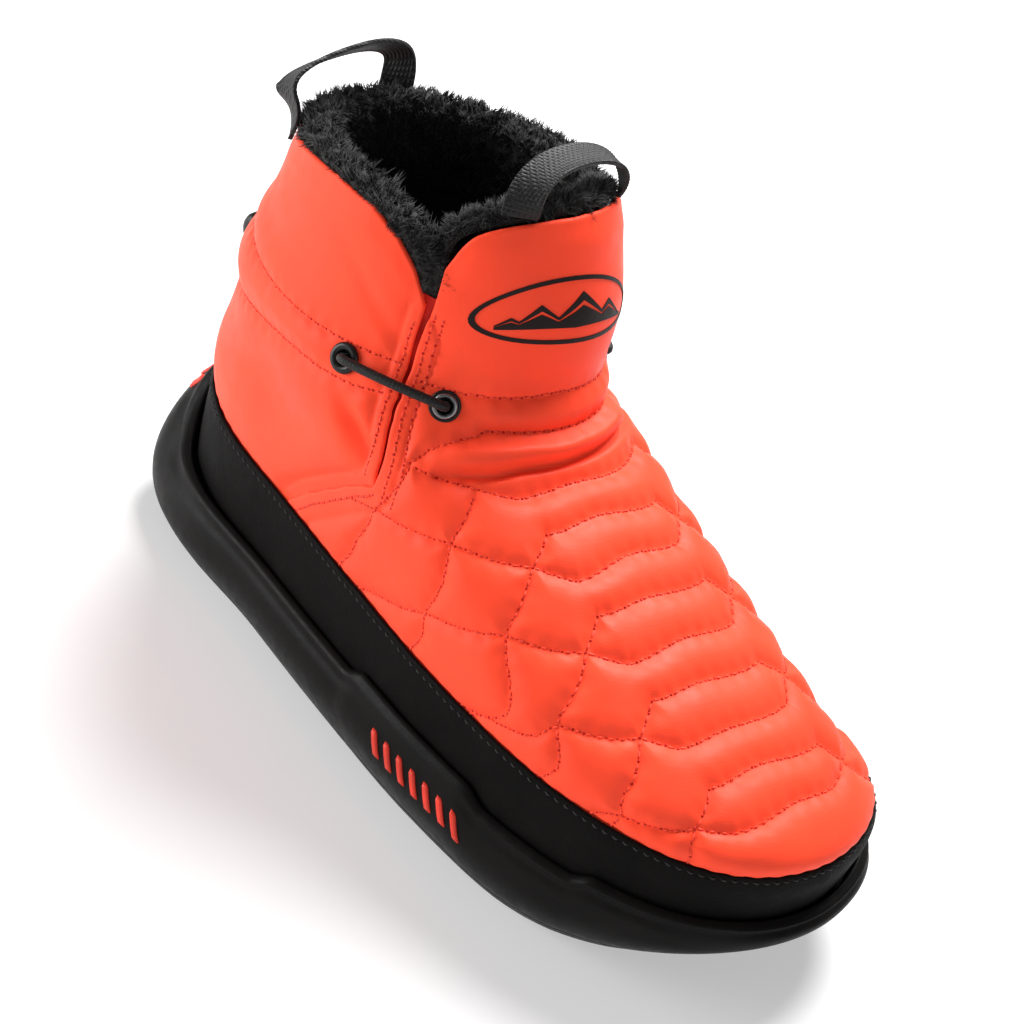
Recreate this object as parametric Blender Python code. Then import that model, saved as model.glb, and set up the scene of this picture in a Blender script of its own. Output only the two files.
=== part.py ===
"""A padded slip-on snow boot for the right foot, standing on its sole.

The toe points along -Y, the inner side of the foot is +X and +Z is up. The origin is on the floor under
the middle of the boot's box. Sizes below are millimetres and become metres where a mesh is made.

The upper is one skin: a stack of rings round the foot, blended into a smooth surface. u runs once round a
ring (0 toe, 0.25 outer side, 0.5 heel, 0.75 inner side) and level runs up the stack, one unit a ring. Each
layer of the upper is a patch of that skin at its own depth under it.
"""

import math

import bmesh
import bpy
import numpy as np

MM = 0.001
COLUMNS = 36

# Added to every point, so that the origin is under the middle of the whole boot's box.
ORIGIN_SHIFT = np.array([2.1, -0.6, 0.0])

# Foot outline at the bottom of the upper: x, y, evenly spaced in u from the toe round the outer side.
FOOT_OUTLINE = [
    (8, -152), (-22, -144), (-45, -121), (-58, -80), (-59, -31), (-53, 19), (-46, 64), (-38, 108),
    (-21, 136), (0, 143), (21, 136), (37, 110), (41, 65), (41, 22), (47, -25), (55, -72), (56, -115),
    (40, -143),
]
FOOT_HALF_WIDTH = 54
FOOT_MIDDLE_Y = -5
FOOT_HALF_LENGTH = 149

# Rings of the upper: front y, front z, back y, back z, width, shift in x, and roundness, where 0 is the
# foot's outline and 1 is an oval.
RINGS = [
    (-152, 30, 143, 30, 1.00, 0, 0.0),
    (-153, 54, 144, 60, 1.00, 0, 0.0),
    (-146, 66, 141, 84, 0.92, -6, 0.10),
    (-103, 84, 138, 104, 0.93, -5, 0.35),
    (-56, 104, 140, 124, 0.95, -4, 0.65),
    (-14, 123, 137, 142, 0.95, -2, 0.90),
    (-1, 142, 134, 154, 0.91, 0, 1.0),
    (3, 165, 132, 170, 0.89, 1, 1.0),
    (11, 188, 131, 188, 0.87, 0, 1.0),
    (18, 208, 130, 206, 0.86, 0, 1.0),
]

# Lines on the skin, as (u, level) pairs for the outer half. The inner half mirrors them.
CREASE = [(0.0, 5.05), (0.06, 4.98), (0.10, 4.82), (0.133, 4.68), (0.158, 4.52)]
GUSSET = [(0.168, 6.68), (0.170, 5.8), (0.174, 5.26), (0.185, 4.86), (0.200, 4.48), (0.219, 4.02),
          (0.240, 3.52)]
SEAM = [(0.240, 3.52), (0.275, 2.92), (0.301, 2.36), (0.319, 1.84), (0.3333, 1.12)]
QUARTER_TOP = [(0.168, 6.68), (0.186, 7.26), (0.203, 7.56), (0.232, 7.8), (0.282, 7.8), (0.33, 7.65),
               (0.40, 7.3), (0.5, 7.2)]
COLLAR_TOP = [(0.0, 8.6), (0.05, 8.55), (0.09, 8.4), (0.12, 8.2), (0.14, 8.0), (0.15, 7.8),
              (0.156, 7.5)]
LINING_SPLIT = [(0.0, 5.05), (0.10, 4.82), (0.158, 4.52), (0.24, 3.3), (0.30, 2.8), (0.5, 2.8)]

GUSSET_HALF_U = 0.006
CUP_ROW_LEVELS = (0.5, 1.0)
EDGE_GAP_U = 0.0012
EDGE_GAP_LEVEL = 0.03

# Depths of the layers under the skin; a negative depth is outside it.
SHELL = (0.0, 1.6)
RAND = (-1.6, -0.7)
GUSSET_DEPTH = (0.5, 1.6)
STIFFENER = (4.0, 5.0)
PADDING = (6.4, 8.0)
LINING = (9.3, 12.5)
FUR_REAR = (-0.5, 13.2)
FUR_FRONT = (3.2, 13.2)

SOLE_THICKNESS = 5.0
SOLE_GAP = 0.8
CUP_FLOOR_Z = 29.7
CUP_INNER_OFFSET = 2.0
LIP_THICKNESS = 2.2

# The raised marks on the sole's wall: distances from the wall to the film's back, its face and the bars.
FILM_BACK = 0.5
FILM_RISE = 0.8
BAR_RISE = 1.5

CORD_DIAMETER = 3.0
SIDE_CHANNEL_DEPTH = 4.85
FRONT_CHANNEL_DEPTH = 4.1
SIDE_CHANNEL = [(0.25, 5.1), (0.30, 4.85), (0.35, 4.55), (0.40, 4.25), (0.44, 4.25), (0.462, 4.32)]
FRONT_CHANNEL = [(-0.113, 5.56), (-0.08, 5.66), (-0.04, 5.74), (0.0, 5.77)]
FRONT_EYELET = (0.135, 5.50)
REAR_EYELET = (0.226, 5.22)
EYELET_FLANGE_RADIUS = 5.2
EYELET_BARREL_RADIUS = 3.3
EYELET_BORE_RADIUS = 2.5
EYELET_HOLE_RADIUS = 3.6

WEBBING_WIDTH = 12.0
WEBBING_THICKNESS = 1.6

ORANGE = (0.90, 0.115, 0.045)
ORANGE_DARK = (0.62, 0.03, 0.015)
BLACK_FABRIC = (0.012, 0.012, 0.013)
BLACK_RUBBER = (0.018, 0.018, 0.019)
FUR_BLACK = (0.02, 0.02, 0.02)
CREAM = (0.55, 0.5, 0.42)
STEEL_GREY = (0.35, 0.36, 0.37)


# ---------------------------------------------------------------- scene and materials

def metres(point):
    return (np.array(point, float) + ORIGIN_SHIFT) * MM


def clear_scene():
    for obj in list(bpy.data.objects):
        bpy.data.objects.remove(obj, do_unlink=True)


def material(name, colour, roughness, metallic=0.0):
    made = bpy.data.materials.new(name)
    made.use_nodes = True
    shader = made.node_tree.nodes["Principled BSDF"]
    shader.inputs["Base Color"].default_value = (*colour, 1.0)
    shader.inputs["Roughness"].default_value = roughness
    shader.inputs["Metallic"].default_value = metallic
    return made


def add_object(name, mesh_builder, finish, parent=None):
    """Closes mesh_builder, turns its faces outwards and adds it to the scene as an object."""
    bmesh.ops.recalc_face_normals(mesh_builder, faces=mesh_builder.faces)
    if mesh_builder.calc_volume(signed=True) < 0:
        bmesh.ops.reverse_faces(mesh_builder, faces=mesh_builder.faces)
    mesh = bpy.data.meshes.new(name)
    mesh_builder.to_mesh(mesh)
    mesh_builder.free()
    mesh.materials.append(finish)
    mesh.shade_smooth()
    mesh.set_sharp_from_angle(angle=math.radians(40))
    obj = bpy.data.objects.new(name, mesh)
    bpy.context.scene.collection.objects.link(obj)
    if parent:
        obj.parent = parent
        mesh.transform(parent.matrix_world.inverted())
    return obj


def pivot(name, position):
    """An empty on a joint's axis, which the pieces that turn about it are parented to."""
    empty = bpy.data.objects.new(name, None)
    empty.location = metres(position)
    bpy.context.scene.collection.objects.link(empty)
    bpy.context.view_layer.update()
    return empty


# ---------------------------------------------------------------- the skin

def smooth_step(low, high, x):
    t = np.clip((x - low) / (high - low), 0, 1)
    return t * t * (3 - 2 * t)


def spline(points, t, closed):
    """Catmull-Rom through points; t is 0 to 1 round a closed one, or counts points along an open one."""
    points = np.array(points, float)
    count = len(points)
    if closed:
        t = np.asarray(t, float) % 1 * count
        i = np.floor(t).astype(int)
        a, b, c, d = (points[(i + k) % count] for k in (-1, 0, 1, 2))
    else:
        t = np.asarray(t, float)
        i = np.clip(np.floor(t).astype(int), 0, count - 2)
        padded = np.vstack([2 * points[0] - points[1], points, 2 * points[-1] - points[-2]])
        a, b, c, d = (padded[i + k] for k in (0, 1, 2, 3))
    f = (t - i)[..., None]
    return 0.5 * (2 * b + (c - a) * f + (2 * a - 5 * b + 4 * c - d) * f**2 + (3 * b - a - 3 * c + d) * f**3)


def skin(u, level):
    u, level = np.broadcast_arrays(np.asarray(u, float), np.asarray(level, float))
    blended = spline(RINGS, level, False)
    front_y, front_z, back_y, back_z, width, shift, roundness = np.moveaxis(blended, -1, 0)
    foot = spline(FOOT_OUTLINE, u, True)
    angle = 2 * math.pi * u
    across = foot[..., 0] / FOOT_HALF_WIDTH * (1 - roundness) - np.sin(angle) * roundness
    along = (foot[..., 1] - FOOT_MIDDLE_Y) / FOOT_HALF_LENGTH * (1 - roundness) - np.cos(angle) * roundness
    x = FOOT_HALF_WIDTH * width * across + shift
    y = (front_y + back_y) / 2 + (back_y - front_y) / 2 * along
    z = front_z + (back_z - front_z) * (along + 1) / 2
    return np.stack([x, y, z], -1)


def skin_normal(u, level):
    step_u, step_level = 0.002, 0.02
    round_it = skin(np.asarray(u) + step_u, level) - skin(np.asarray(u) - step_u, level)
    up_it = skin(u, np.asarray(level) + step_level) - skin(u, np.asarray(level) - step_level)
    normal = np.cross(up_it, round_it)
    return normal / np.linalg.norm(normal, axis=-1, keepdims=True)


def layer(u, level, depth):
    return skin(u, level) - skin_normal(u, level) * depth


def mirrored(u):
    """Distance in u from the toe, the same on both sides of the boot."""
    u = np.abs(np.asarray(u, float))
    return np.where(u > 0.5, 1 - u, u)


def line_level(line):
    """The line's level as a function of u."""
    us, levels = zip(*line)
    return lambda u: np.interp(mirrored(u), us, levels)


def rear_border(shift):
    """u of the quarter's front border at a level: the seam below, the gusset above."""
    points = sorted((level, u) for u, level in set(SEAM + GUSSET))
    levels, us = zip(*points)
    return lambda level: np.interp(level, levels, us) + shift


def gusset_level(shift):
    """The gusset's level as a function of u, moved by shift in u."""
    us, levels = zip(*GUSSET)
    return lambda u: np.interp(mirrored(u), np.array(us) + shift, levels)


# ---------------------------------------------------------------- mesh building

def add_grid(builder, points, wrap):
    rows, columns = points.shape[:2]
    grid = [[builder.verts.new(metres(points[i, j])) for j in range(columns)] for i in range(rows)]
    for i in range(rows - 1):
        for j in range(columns if wrap else columns - 1):
            k = (j + 1) % columns
            builder.faces.new((grid[i][j], grid[i][k], grid[i + 1][k], grid[i + 1][j]))
    return grid


def join_rims(builder, rim_a, rim_b, wrap):
    count = len(rim_a)
    for j in range(count if wrap else count - 1):
        k = (j + 1) % count
        builder.faces.new((rim_a[j], rim_a[k], rim_b[k], rim_b[j]))


def patch(name, finish, u, level, depths, wrap=False, parent=None):
    """A closed piece of the skin's layer between two depths, on a grid of u and level."""
    builder = bmesh.new()
    outer = add_grid(builder, layer(u, level, depths[0]), wrap)
    inner = add_grid(builder, layer(u, level, depths[1]), wrap)
    join_rims(builder, outer[0], inner[0], wrap)
    join_rims(builder, outer[-1], inner[-1], wrap)
    if not wrap:
        join_rims(builder, [row[0] for row in outer], [row[0] for row in inner], False)
        join_rims(builder, [row[-1] for row in outer], [row[-1] for row in inner], False)
    return add_object(name, builder, finish, parent)


def row_levels(bottom, top, rows):
    """Levels of a patch's rows. One that starts in the cup sole has its first rows at fixed levels."""
    shape = (rows + 1, np.shape(top)[-1])
    bottom, top = np.broadcast_to(bottom, shape), np.broadcast_to(top, shape)
    if bottom.max() > CUP_ROW_LEVELS[0]:
        return bottom + (top - bottom) * np.linspace(0, 1, rows + 1)[:, None]
    level = 1.0 * bottom
    level[1] = CUP_ROW_LEVELS[0]
    level[2:] = CUP_ROW_LEVELS[1] + (top[2:] - CUP_ROW_LEVELS[1]) * np.linspace(0, 1, rows - 1)[:, None]
    return level


def grid_between(left, right, bottom, top, columns, rows):
    """u and level grids. left and right give u at a level; bottom and top give the level at a u."""
    s = np.linspace(0, 1, columns + 1)
    u = np.broadcast_to(left(5.0) + (right(5.0) - left(5.0)) * s, (rows + 1, columns + 1))
    for _ in range(8):
        level = row_levels(bottom(u), top(u), rows)
        u = left(level) + (right(level) - left(level)) * s
    return u, level


def ring_grid(bottom, top, rows):
    u = np.arange(COLUMNS) / COLUMNS
    level = row_levels(bottom, top(u), rows)
    return np.broadcast_to(u, level.shape), level


def ladder_cap(builder, rim):
    """Closes a ring of points by joining each one to the point across the boot."""
    count = len(rim)
    for j in range(1, count // 2 - 1):
        builder.faces.new((rim[j], rim[j + 1], rim[count - j - 1], rim[count - j]))
    builder.faces.new((rim[0], rim[1], rim[count - 1]))
    builder.faces.new((rim[count // 2], rim[count // 2 - 1], rim[count // 2 + 1]))


def stacked_rings(name, finish, rings, parent=None):
    """A closed solid from a stack of rings, its first and last rings capped."""
    builder = bmesh.new()
    grid = add_grid(builder, np.array(rings), True)
    ladder_cap(builder, grid[0])
    ladder_cap(builder, grid[-1])
    return add_object(name, builder, finish, parent)


def frame_along(path, across):
    """Side and up vectors at each point of a path, with side kept near the direction across."""
    tangent = np.gradient(path, axis=0)
    tangent /= np.linalg.norm(tangent, axis=1, keepdims=True)
    side = across - (across * tangent).sum(1, keepdims=True) * tangent
    side /= np.linalg.norm(side, axis=1, keepdims=True)
    return side, np.cross(tangent, side)


def sweep(name, finish, path, across, outline, parent=None):
    """A closed bar: outline, a list of (side, up) points, carried along path."""
    path = np.array(path, float)
    side, up = frame_along(path, np.array(across, float) * np.ones_like(path))
    outline = np.array(outline, float)
    points = path[:, None] + side[:, None] * outline[None, :, :1] + up[:, None] * outline[None, :, 1:]
    builder = bmesh.new()
    grid = add_grid(builder, points, True)
    builder.faces.new(grid[0])
    builder.faces.new(grid[-1])
    return add_object(name, builder, finish, parent)


def circle(radius, sides):
    angles = [2 * math.pi * k / sides for k in range(sides)]
    return [(radius * math.cos(a), radius * math.sin(a)) for a in angles]


def box_outline(width, height):
    side, up = width / 2, height / 2
    return [(-side, -up), (side, -up), (side, up), (-side, up)]


def turned(name, finish, profile, centre, axis, segments, parent=None):
    """A ring turned round axis at centre, from a closed profile of (radius, distance along the axis)."""
    axis = np.array(axis, float) / np.linalg.norm(axis)
    first = np.cross(axis, (0.0, 0.0, 1.0) if abs(axis[2]) < 0.9 else (1.0, 0.0, 0.0))
    first /= np.linalg.norm(first)
    second = np.cross(axis, first)
    rows = []
    for radius, distance in profile + profile[:1]:
        angles = np.arange(segments) * 2 * math.pi / segments
        spokes = np.cos(angles)[:, None] * first + np.sin(angles)[:, None] * second
        rows.append(np.array(centre) + spokes * radius + axis * distance)
    builder = bmesh.new()
    add_grid(builder, np.array(rows), True)
    bmesh.ops.remove_doubles(builder, verts=builder.verts, dist=1e-7)
    return add_object(name, builder, finish, parent)


def cylinder(name, finish, centre, axis, radius, length, segments=16, parent=None):
    axis = np.array(axis, float) / np.linalg.norm(axis)
    first = np.cross(axis, (0.0, 0.0, 1.0) if abs(axis[2]) < 0.9 else (1.0, 0.0, 0.0))
    first /= np.linalg.norm(first)
    second = np.cross(axis, first)
    angles = (np.arange(segments) + 0.5) * 2 * math.pi / segments
    spokes = (np.cos(angles)[:, None] * first + np.sin(angles)[:, None] * second) * radius
    ends = np.array([np.array(centre) + spokes + axis * length * end for end in (-0.5, 0.5)])
    builder = bmesh.new()
    grid = add_grid(builder, ends, True)
    builder.faces.new(grid[0])
    builder.faces.new(grid[1])
    return add_object(name, builder, finish, parent)


def as_cutter(obj):
    obj.hide_render = True
    obj.display_type = "WIRE"
    return obj


def cut(obj, cutter):
    modifier = obj.modifiers.new("cut_" + cutter.name, "BOOLEAN")
    modifier.operation = "DIFFERENCE"
    modifier.solver = "EXACT"
    modifier.object = cutter


def rounded_box(name, finish, low, high, bevel, parent=None):
    builder = bmesh.new()
    bmesh.ops.create_cube(builder, size=1.0)
    low, high = metres(low), metres(high)
    for vertex in builder.verts:
        vertex.co = [(low[k] + high[k]) / 2 + vertex.co[k] * (high[k] - low[k]) for k in range(3)]
    edges = list(builder.edges)
    bmesh.ops.bevel(builder, geom=edges, offset=bevel * MM, segments=2, profile=0.5, affect="EDGES")
    return add_object(name, builder, finish, parent)


# ---------------------------------------------------------------- sole

def sole_bottom_z(y):
    """The tread is flat under the foot, springs up at the toe and lifts a little at the heel."""
    return 26 * np.clip((-y - 70) / 84, 0, None) ** 2 + 3 * np.clip((y - 112) / 40, 0, None) ** 2


def lip_z(u):
    """Top edge of the cup sole: raised along the side panel, at the toe and far up the heel."""
    y = skin(u, 0)[..., 1]
    side_panel = 4 * smooth_step(10, 2, y) * (1 - smooth_step(-52, -62, y))
    return 34 + side_panel + 4 * smooth_step(-96, -104, y) + 24 * smooth_step(0.42, 0.49, mirrored(u))


def plan_normal(u):
    step = 0.002
    tangent = skin(np.asarray(u) + step, 0) - skin(np.asarray(u) - step, 0)
    normal = np.stack([tangent[..., 1] * -1, tangent[..., 0], 0 * tangent[..., 0]], -1)
    return normal / np.linalg.norm(normal, axis=-1, keepdims=True)


def level_at(u, z):
    """Level of the lowest ring gap at height z; heights below the upper count as its bottom."""
    return np.clip((z - 30) / (skin(u, 1)[..., 2] - 30), 0, 1)


def offset_ring(u, z, offset):
    points = skin(u, level_at(u, z)) + plan_normal(u) * np.asarray(offset)[..., None]
    points[..., 2] = z
    return points


def sole_flare(u, h):
    """How far the sole's wall stands out, from its bottom edge, h = 0, to its lip, h = 1."""
    heel = smooth_step(0.34, 0.47, mirrored(u))
    toe = smooth_step(0.16, 0.02, mirrored(u))
    bottom = -2 + 10 * heel - 6 * toe
    middle = 9 + 12 * heel + 3 * toe
    top = CUP_INNER_OFFSET + LIP_THICKNESS
    return bottom * (1 - h) ** 2 + 2.8 * middle * h * (1 - h) + top * h * h


def wall_ring(u, height):
    """A ring on the sole's outer wall, at a height above the tread or, past 1, a share of the wall."""
    bottom = sole_bottom_z(offset_ring(u, np.zeros_like(u), np.zeros_like(u))[..., 1])
    top = lip_z(u)
    h = height / (top - bottom) if height > 1 else np.full_like(u, height)
    return offset_ring(u, bottom + (top - bottom) * h, sole_flare(u, h))


def make_outsole(finish):
    u = np.arange(COLUMNS) / COLUMNS
    rings = [wall_ring(u, height) for height in (0.0, 2.0, SOLE_THICKNESS)]
    return stacked_rings("outsole", finish, rings)


def make_midsole(finish):
    u = np.arange(COLUMNS) / COLUMNS
    seat = wall_ring(u, SOLE_THICKNESS)
    seat[..., 2] += SOLE_GAP
    rings = [seat] + [wall_ring(u, h) for h in (0.5, 0.66, 0.82, 1.0)]
    inner = np.full_like(u, CUP_INNER_OFFSET)
    rings.append(offset_ring(u, lip_z(u), inner))
    rings.append(offset_ring(u, 0.5 * lip_z(u) + 0.5 * CUP_FLOOR_Z, inner))
    rings.append(offset_ring(u, np.full_like(u, CUP_FLOOR_Z), inner))
    return stacked_rings("midsole", finish, rings)


def make_plate(name, finish, low, high, inset):
    u = np.arange(COLUMNS) / COLUMNS
    offsets = np.full_like(u, -inset)
    rings = [offset_ring(u, np.full_like(u, z), offsets) for z in (low, high)]
    for ring, z in zip(rings, (low, high)):
        ring[..., :2] = rings[0][..., :2]
        ring[..., 2] = z
    return stacked_rings(name, finish, rings)


def raised_bars(name, finish, start, count, pitch, bar_width, heights, slant):
    """A thin film on the sole's wall with leaning bars standing up from it, as one closed strip."""
    edges = [(start, FILM_RISE)]
    for k in range(count):
        bar_start = start + pitch * (k + 0.5)
        edges += [(bar_start, FILM_RISE), (bar_start, BAR_RISE)]
        edges += [(bar_start + bar_width, BAR_RISE), (bar_start + bar_width, FILM_RISE)]
    edges.append((start + pitch * (count + 0.5), FILM_RISE))
    columns_u = np.array([edge[0] for edge in edges])
    rises = np.array([edge[1] for edge in edges])
    rows = []
    for share in np.linspace(heights[0], heights[1], 4):
        u = columns_u + slant * (share - heights[0]) / (heights[1] - heights[0])
        wall = wall_ring(u, float(share))
        outwards = plan_normal(u)
        rows.append((wall + outwards * rises[:, None], wall + outwards * FILM_BACK))
    builder = bmesh.new()
    outer = add_grid(builder, np.array([row[0] for row in rows]), False)
    inner = add_grid(builder, np.array([row[1] for row in rows]), False)
    for k in (0, -1):
        join_rims(builder, outer[k], inner[k], False)
        join_rims(builder, [row[k] for row in outer], [row[k] for row in inner], False)
    return add_object(name, builder, finish)


# ---------------------------------------------------------------- upper

def rand_top(u):
    return 1.12 + 0.03 * smooth_step(0.40, 0.49, mirrored(u))


def make_rand(finish):
    u, level = ring_grid(0.0, rand_top, 3)
    return patch("rand", finish, u, level, RAND, wrap=True)


def vamp_top(u):
    """The crease in front, then the gusset's front edge, then the seam down to the rand."""
    u = mirrored(u)
    crease = line_level(CREASE)(u)
    gusset = gusset_level(-GUSSET_HALF_U)(u)
    seam = line_level(SEAM)(u + GUSSET_HALF_U / 2)
    level = np.where(u < 0.155, crease, np.where(u < 0.234, np.minimum(gusset, crease), seam))
    return level - EDGE_GAP_LEVEL


def vamp_grid(bottom, top_trim, rows, columns=24):
    u = np.linspace(-1 / 3, 1 / 3, columns + 1)
    level = row_levels(bottom, vamp_top(u) - top_trim, rows)
    return np.broadcast_to(u, level.shape), level


def quarter_grid(bottom, top_trim, shift, rows, columns=12):
    left = rear_border(shift)
    top = line_level(QUARTER_TOP)
    return grid_between(left, lambda level: 1 - left(level), lambda u: bottom + 0 * u,
                        lambda u: top(u) - top_trim, columns, rows)


def collar_side(level):
    us, levels = zip(*GUSSET)
    border = np.interp(level, levels[::-1], us[::-1])
    return np.minimum(border - GUSSET_HALF_U - EDGE_GAP_U, 0.156 + 0.012 * smooth_step(5.4, 4.5, level))


def collar_grid(side_trim, bottom_trim, top_trim, rows, columns=12):
    crease = line_level(CREASE)
    top = line_level(COLLAR_TOP)
    return grid_between(
        lambda level: side_trim - collar_side(level), lambda level: collar_side(level) - side_trim,
        lambda u: crease(u) + bottom_trim, lambda u: top(u) - top_trim, columns, rows)


def make_gusset(name, finish, side):
    levels = np.linspace(GUSSET[-1][1] + 0.14, GUSSET[0][1] - 0.05, 7)[:, None]
    us, line_levels = zip(*GUSSET)
    middle = np.interp(levels, line_levels[::-1], us[::-1])
    half = GUSSET_HALF_U - EDGE_GAP_U
    u = np.hstack([middle - half, middle, middle + half])
    u = u if side > 0 else 1 - u
    return patch(name, finish, u, np.broadcast_to(levels, u.shape), GUSSET_DEPTH)


def fur_rear_grid():
    edge = line_level(QUARTER_TOP)
    half_u = np.concatenate([[0.1625, 0.168, 0.176, 0.186, 0.203, 0.218], np.linspace(0.235, 0.5, 9)])
    u = np.concatenate([half_u, 1 - half_u[-2::-1]])
    bottom = edge(u) + 0.06
    top = np.interp(mirrored(u), [0.16, 0.20, 0.28, 0.36, 0.5], [7.9, 8.12, 8.18, 8.03, 7.83])
    t = np.linspace(0, 1, 3)[:, None]
    return np.broadcast_to(u, (3, len(u))), bottom + (top - bottom) * t


def fur_front_grid():
    u = np.linspace(-0.146, 0.146, 11)
    edge = line_level(COLLAR_TOP)(u)
    t = np.linspace(0, 1, 3)[:, None]
    return np.broadcast_to(u, (3, len(u))), edge + 0.05 + 0.26 * t


# ---------------------------------------------------------------- cord, eyelets and lock

def skin_frame(place, inner_side):
    u, level = place
    u = 1 - u if inner_side else u
    return skin(u, level), skin_normal(u, level)


def make_eyelet(name, finish, place, inner_side, parent):
    centre, out = skin_frame(place, inner_side)
    profile = [(EYELET_BORE_RADIUS, -4.8), (EYELET_BORE_RADIUS, 1.5), (EYELET_BORE_RADIUS + 0.8, 1.9),
               (EYELET_FLANGE_RADIUS - 0.6, 1.5), (EYELET_FLANGE_RADIUS, 0.7), (EYELET_BARREL_RADIUS, 0.7),
               (EYELET_BARREL_RADIUS, -4.8)]
    return turned(name, finish, profile, centre, out, 14, parent)


def make_washer(name, finish, place, inner_side, parent):
    centre, out = skin_frame(place, inner_side)
    profile = [(3.6, -3.8), (5.0, -3.8), (5.0, -4.5), (3.6, -4.5)]
    return turned(name, finish, profile, centre, out, 14, parent)


def smooth_path(points, count):
    points = np.array(points, float)
    return spline(points, np.linspace(0, len(points) - 1, count), False)


def cord_span_path(inner_side):
    """Out of the front eyelet, over the gusset and into the rear eyelet."""
    front, front_out = skin_frame(FRONT_EYELET, inner_side)
    rear, rear_out = skin_frame(REAR_EYELET, inner_side)
    run = rear - front
    lift = 4.9
    middle_lift = 6.3
    middle = (front + rear + (front_out + rear_out) * middle_lift) / 2
    points = [front - front_out * 3.4, front + front_out * 0.6, front + front_out * 3.4 + run * 0.01,
              front + front_out * lift + run * 0.14, middle,
              rear + rear_out * lift - run * 0.14, rear + rear_out * 3.4 - run * 0.01,
              rear + rear_out * 0.6, rear - rear_out * 3.4]
    return smooth_path(points, 21)


def channel_path(us, levels, depth, inner_side=False):
    us = np.array(us)
    us = 1 - us if inner_side else us
    points = layer(us, np.array(levels), depth)
    return smooth_path(points, 2 * len(us))


def make_cord(name, finish, path, parent=None):
    return sweep(name, finish, path, (0.05, 0.1, 1.0), circle(CORD_DIAMETER / 2, 6), parent)


TAIL_X = (-3.1, 0.1)
TAIL_Y = 146.0
LOCK_MIDDLE = (-1.5, 146.0, 117.5)
LOCK_HALF = (9.0, 4.4, 6.0)
LOCK_SHIFT = -1.5
POCKET = (-9.3, 8.0)
POCKET_RADIUS = 3.2
PLUNGER = (-4.4, 10.5)
PLUNGER_RADIUS = 2.8
PLUNGER_SLOT = (-3.4, 5.9)
PLUNGER_SLOT_HALF_WIDTH = 1.9
BODY_SLOT = (-3.3, 3.3)
BODY_SLOT_HALF_WIDTH = 1.8
SPRING = (-8.8, -4.9)
SPRING_TURNS = 3
SPRING_RADIUS = 1.9
SPRING_WIRE = 0.3


def tail_path(x):
    """One end of the elastic, from inside the shaft, out through the heel and down through the lock."""
    return smooth_path([(x, 136.0, 131.5), (x, 140.5, 131.5), (x, 144.4, 130.5), (x, TAIL_Y, 127.5),
                        (x, TAIL_Y, 123.0), (x, TAIL_Y, 113.0), (x, TAIL_Y, 105.0), (x, TAIL_Y, 99.5)], 15)


def make_cord_end(finish):
    """Moulded bell that joins the elastic's two ends below the lock."""
    return rounded_box("cord_end", finish, (-5.7, 143.4, 90.5), (2.7, 148.6, 99.2), 1.6)


def along_x(span):
    """Centre and length of a span in x through the lock's middle."""
    x, y, z = LOCK_MIDDLE
    return (x + (span[0] + span[1]) / 2, y, z), span[1] - span[0]


def cross_slot(name, span, half_width):
    """A cutter that runs right through the lock in z."""
    x, y, z = LOCK_MIDDLE
    low, high = (x + span[0], y - half_width, z - 9), (x + span[1], y + half_width, z + 9)
    return as_cutter(rounded_box(name, bpy.data.materials[0], low, high, 0.4))


def make_lock(finish, spring_finish, body_pivot, button_pivot):
    """A toggle: a body with a cross slot for the cord's ends, and a sprung plunger that pinches them."""
    x, y, z = LOCK_MIDDLE
    low = [LOCK_MIDDLE[k] - LOCK_HALF[k] + (LOCK_SHIFT if k == 0 else 0) for k in range(3)]
    high = [LOCK_MIDDLE[k] + LOCK_HALF[k] + (LOCK_SHIFT if k == 0 else 0) for k in range(3)]
    body = rounded_box("cord_lock", finish, low, high, 1.8, body_pivot)
    centre, length = along_x(POCKET)
    cut(body, as_cutter(cylinder("pocket_cutter", finish, centre, (1, 0, 0), POCKET_RADIUS, length)))
    cut(body, cross_slot("body_slot_cutter", BODY_SLOT, BODY_SLOT_HALF_WIDTH))
    centre, length = along_x(PLUNGER)
    across = (1, 0, 0)
    plunger = cylinder("lock_button", finish, centre, across, PLUNGER_RADIUS, length, parent=button_pivot)
    cut(plunger, cross_slot("button_slot_cutter", PLUNGER_SLOT, PLUNGER_SLOT_HALF_WIDTH))
    angle = np.linspace(0, SPRING_TURNS * 2 * math.pi, SPRING_TURNS * 10 + 1)
    along = x + SPRING[0] + (SPRING[1] - SPRING[0]) * angle / angle[-1]
    helix = np.stack([along, y + SPRING_RADIUS * np.cos(angle), z + SPRING_RADIUS * np.sin(angle)], -1)
    sweep("lock_spring", spring_finish, helix, (1, 0, 0), circle(SPRING_WIRE, 5))


# ---------------------------------------------------------------- pull loops

def make_loop(name, finish, us, level, depth, peak_height, bulge, lean, top_across, parent):
    """An arch of webbing between two places on the skin. It lies along the skin at both ends and across
    top_across on top."""
    us = np.array(us)
    low, high = layer(us, level, depth)
    middle, reach = (low + high) / 2, (high - low) / 2
    angle = np.linspace(0, math.pi, 13)[:, None]
    height = np.sin(angle) ** 0.8
    out = np.cos(angle) * (1 + bulge * np.sin(angle) ** 2)
    path = middle - reach * out + height**2 * np.array([0.0, lean, 0.0])
    path += height * np.array([0.0, 0.0, peak_height])
    tangents = skin(us + 0.01, level) - skin(us - 0.01, level)
    tangents *= np.sign(tangents[:, 1:2]) / np.linalg.norm(tangents, axis=1, keepdims=True)
    ends = np.where(angle < math.pi / 2, tangents[0], tangents[1])
    share = np.sin(angle) ** 0.7
    across = ends * (1 - share) + np.array(top_across) * share
    return sweep(name, finish, path, across, box_outline(WEBBING_WIDTH, WEBBING_THICKNESS), parent)


# ---------------------------------------------------------------- the boot

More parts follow.
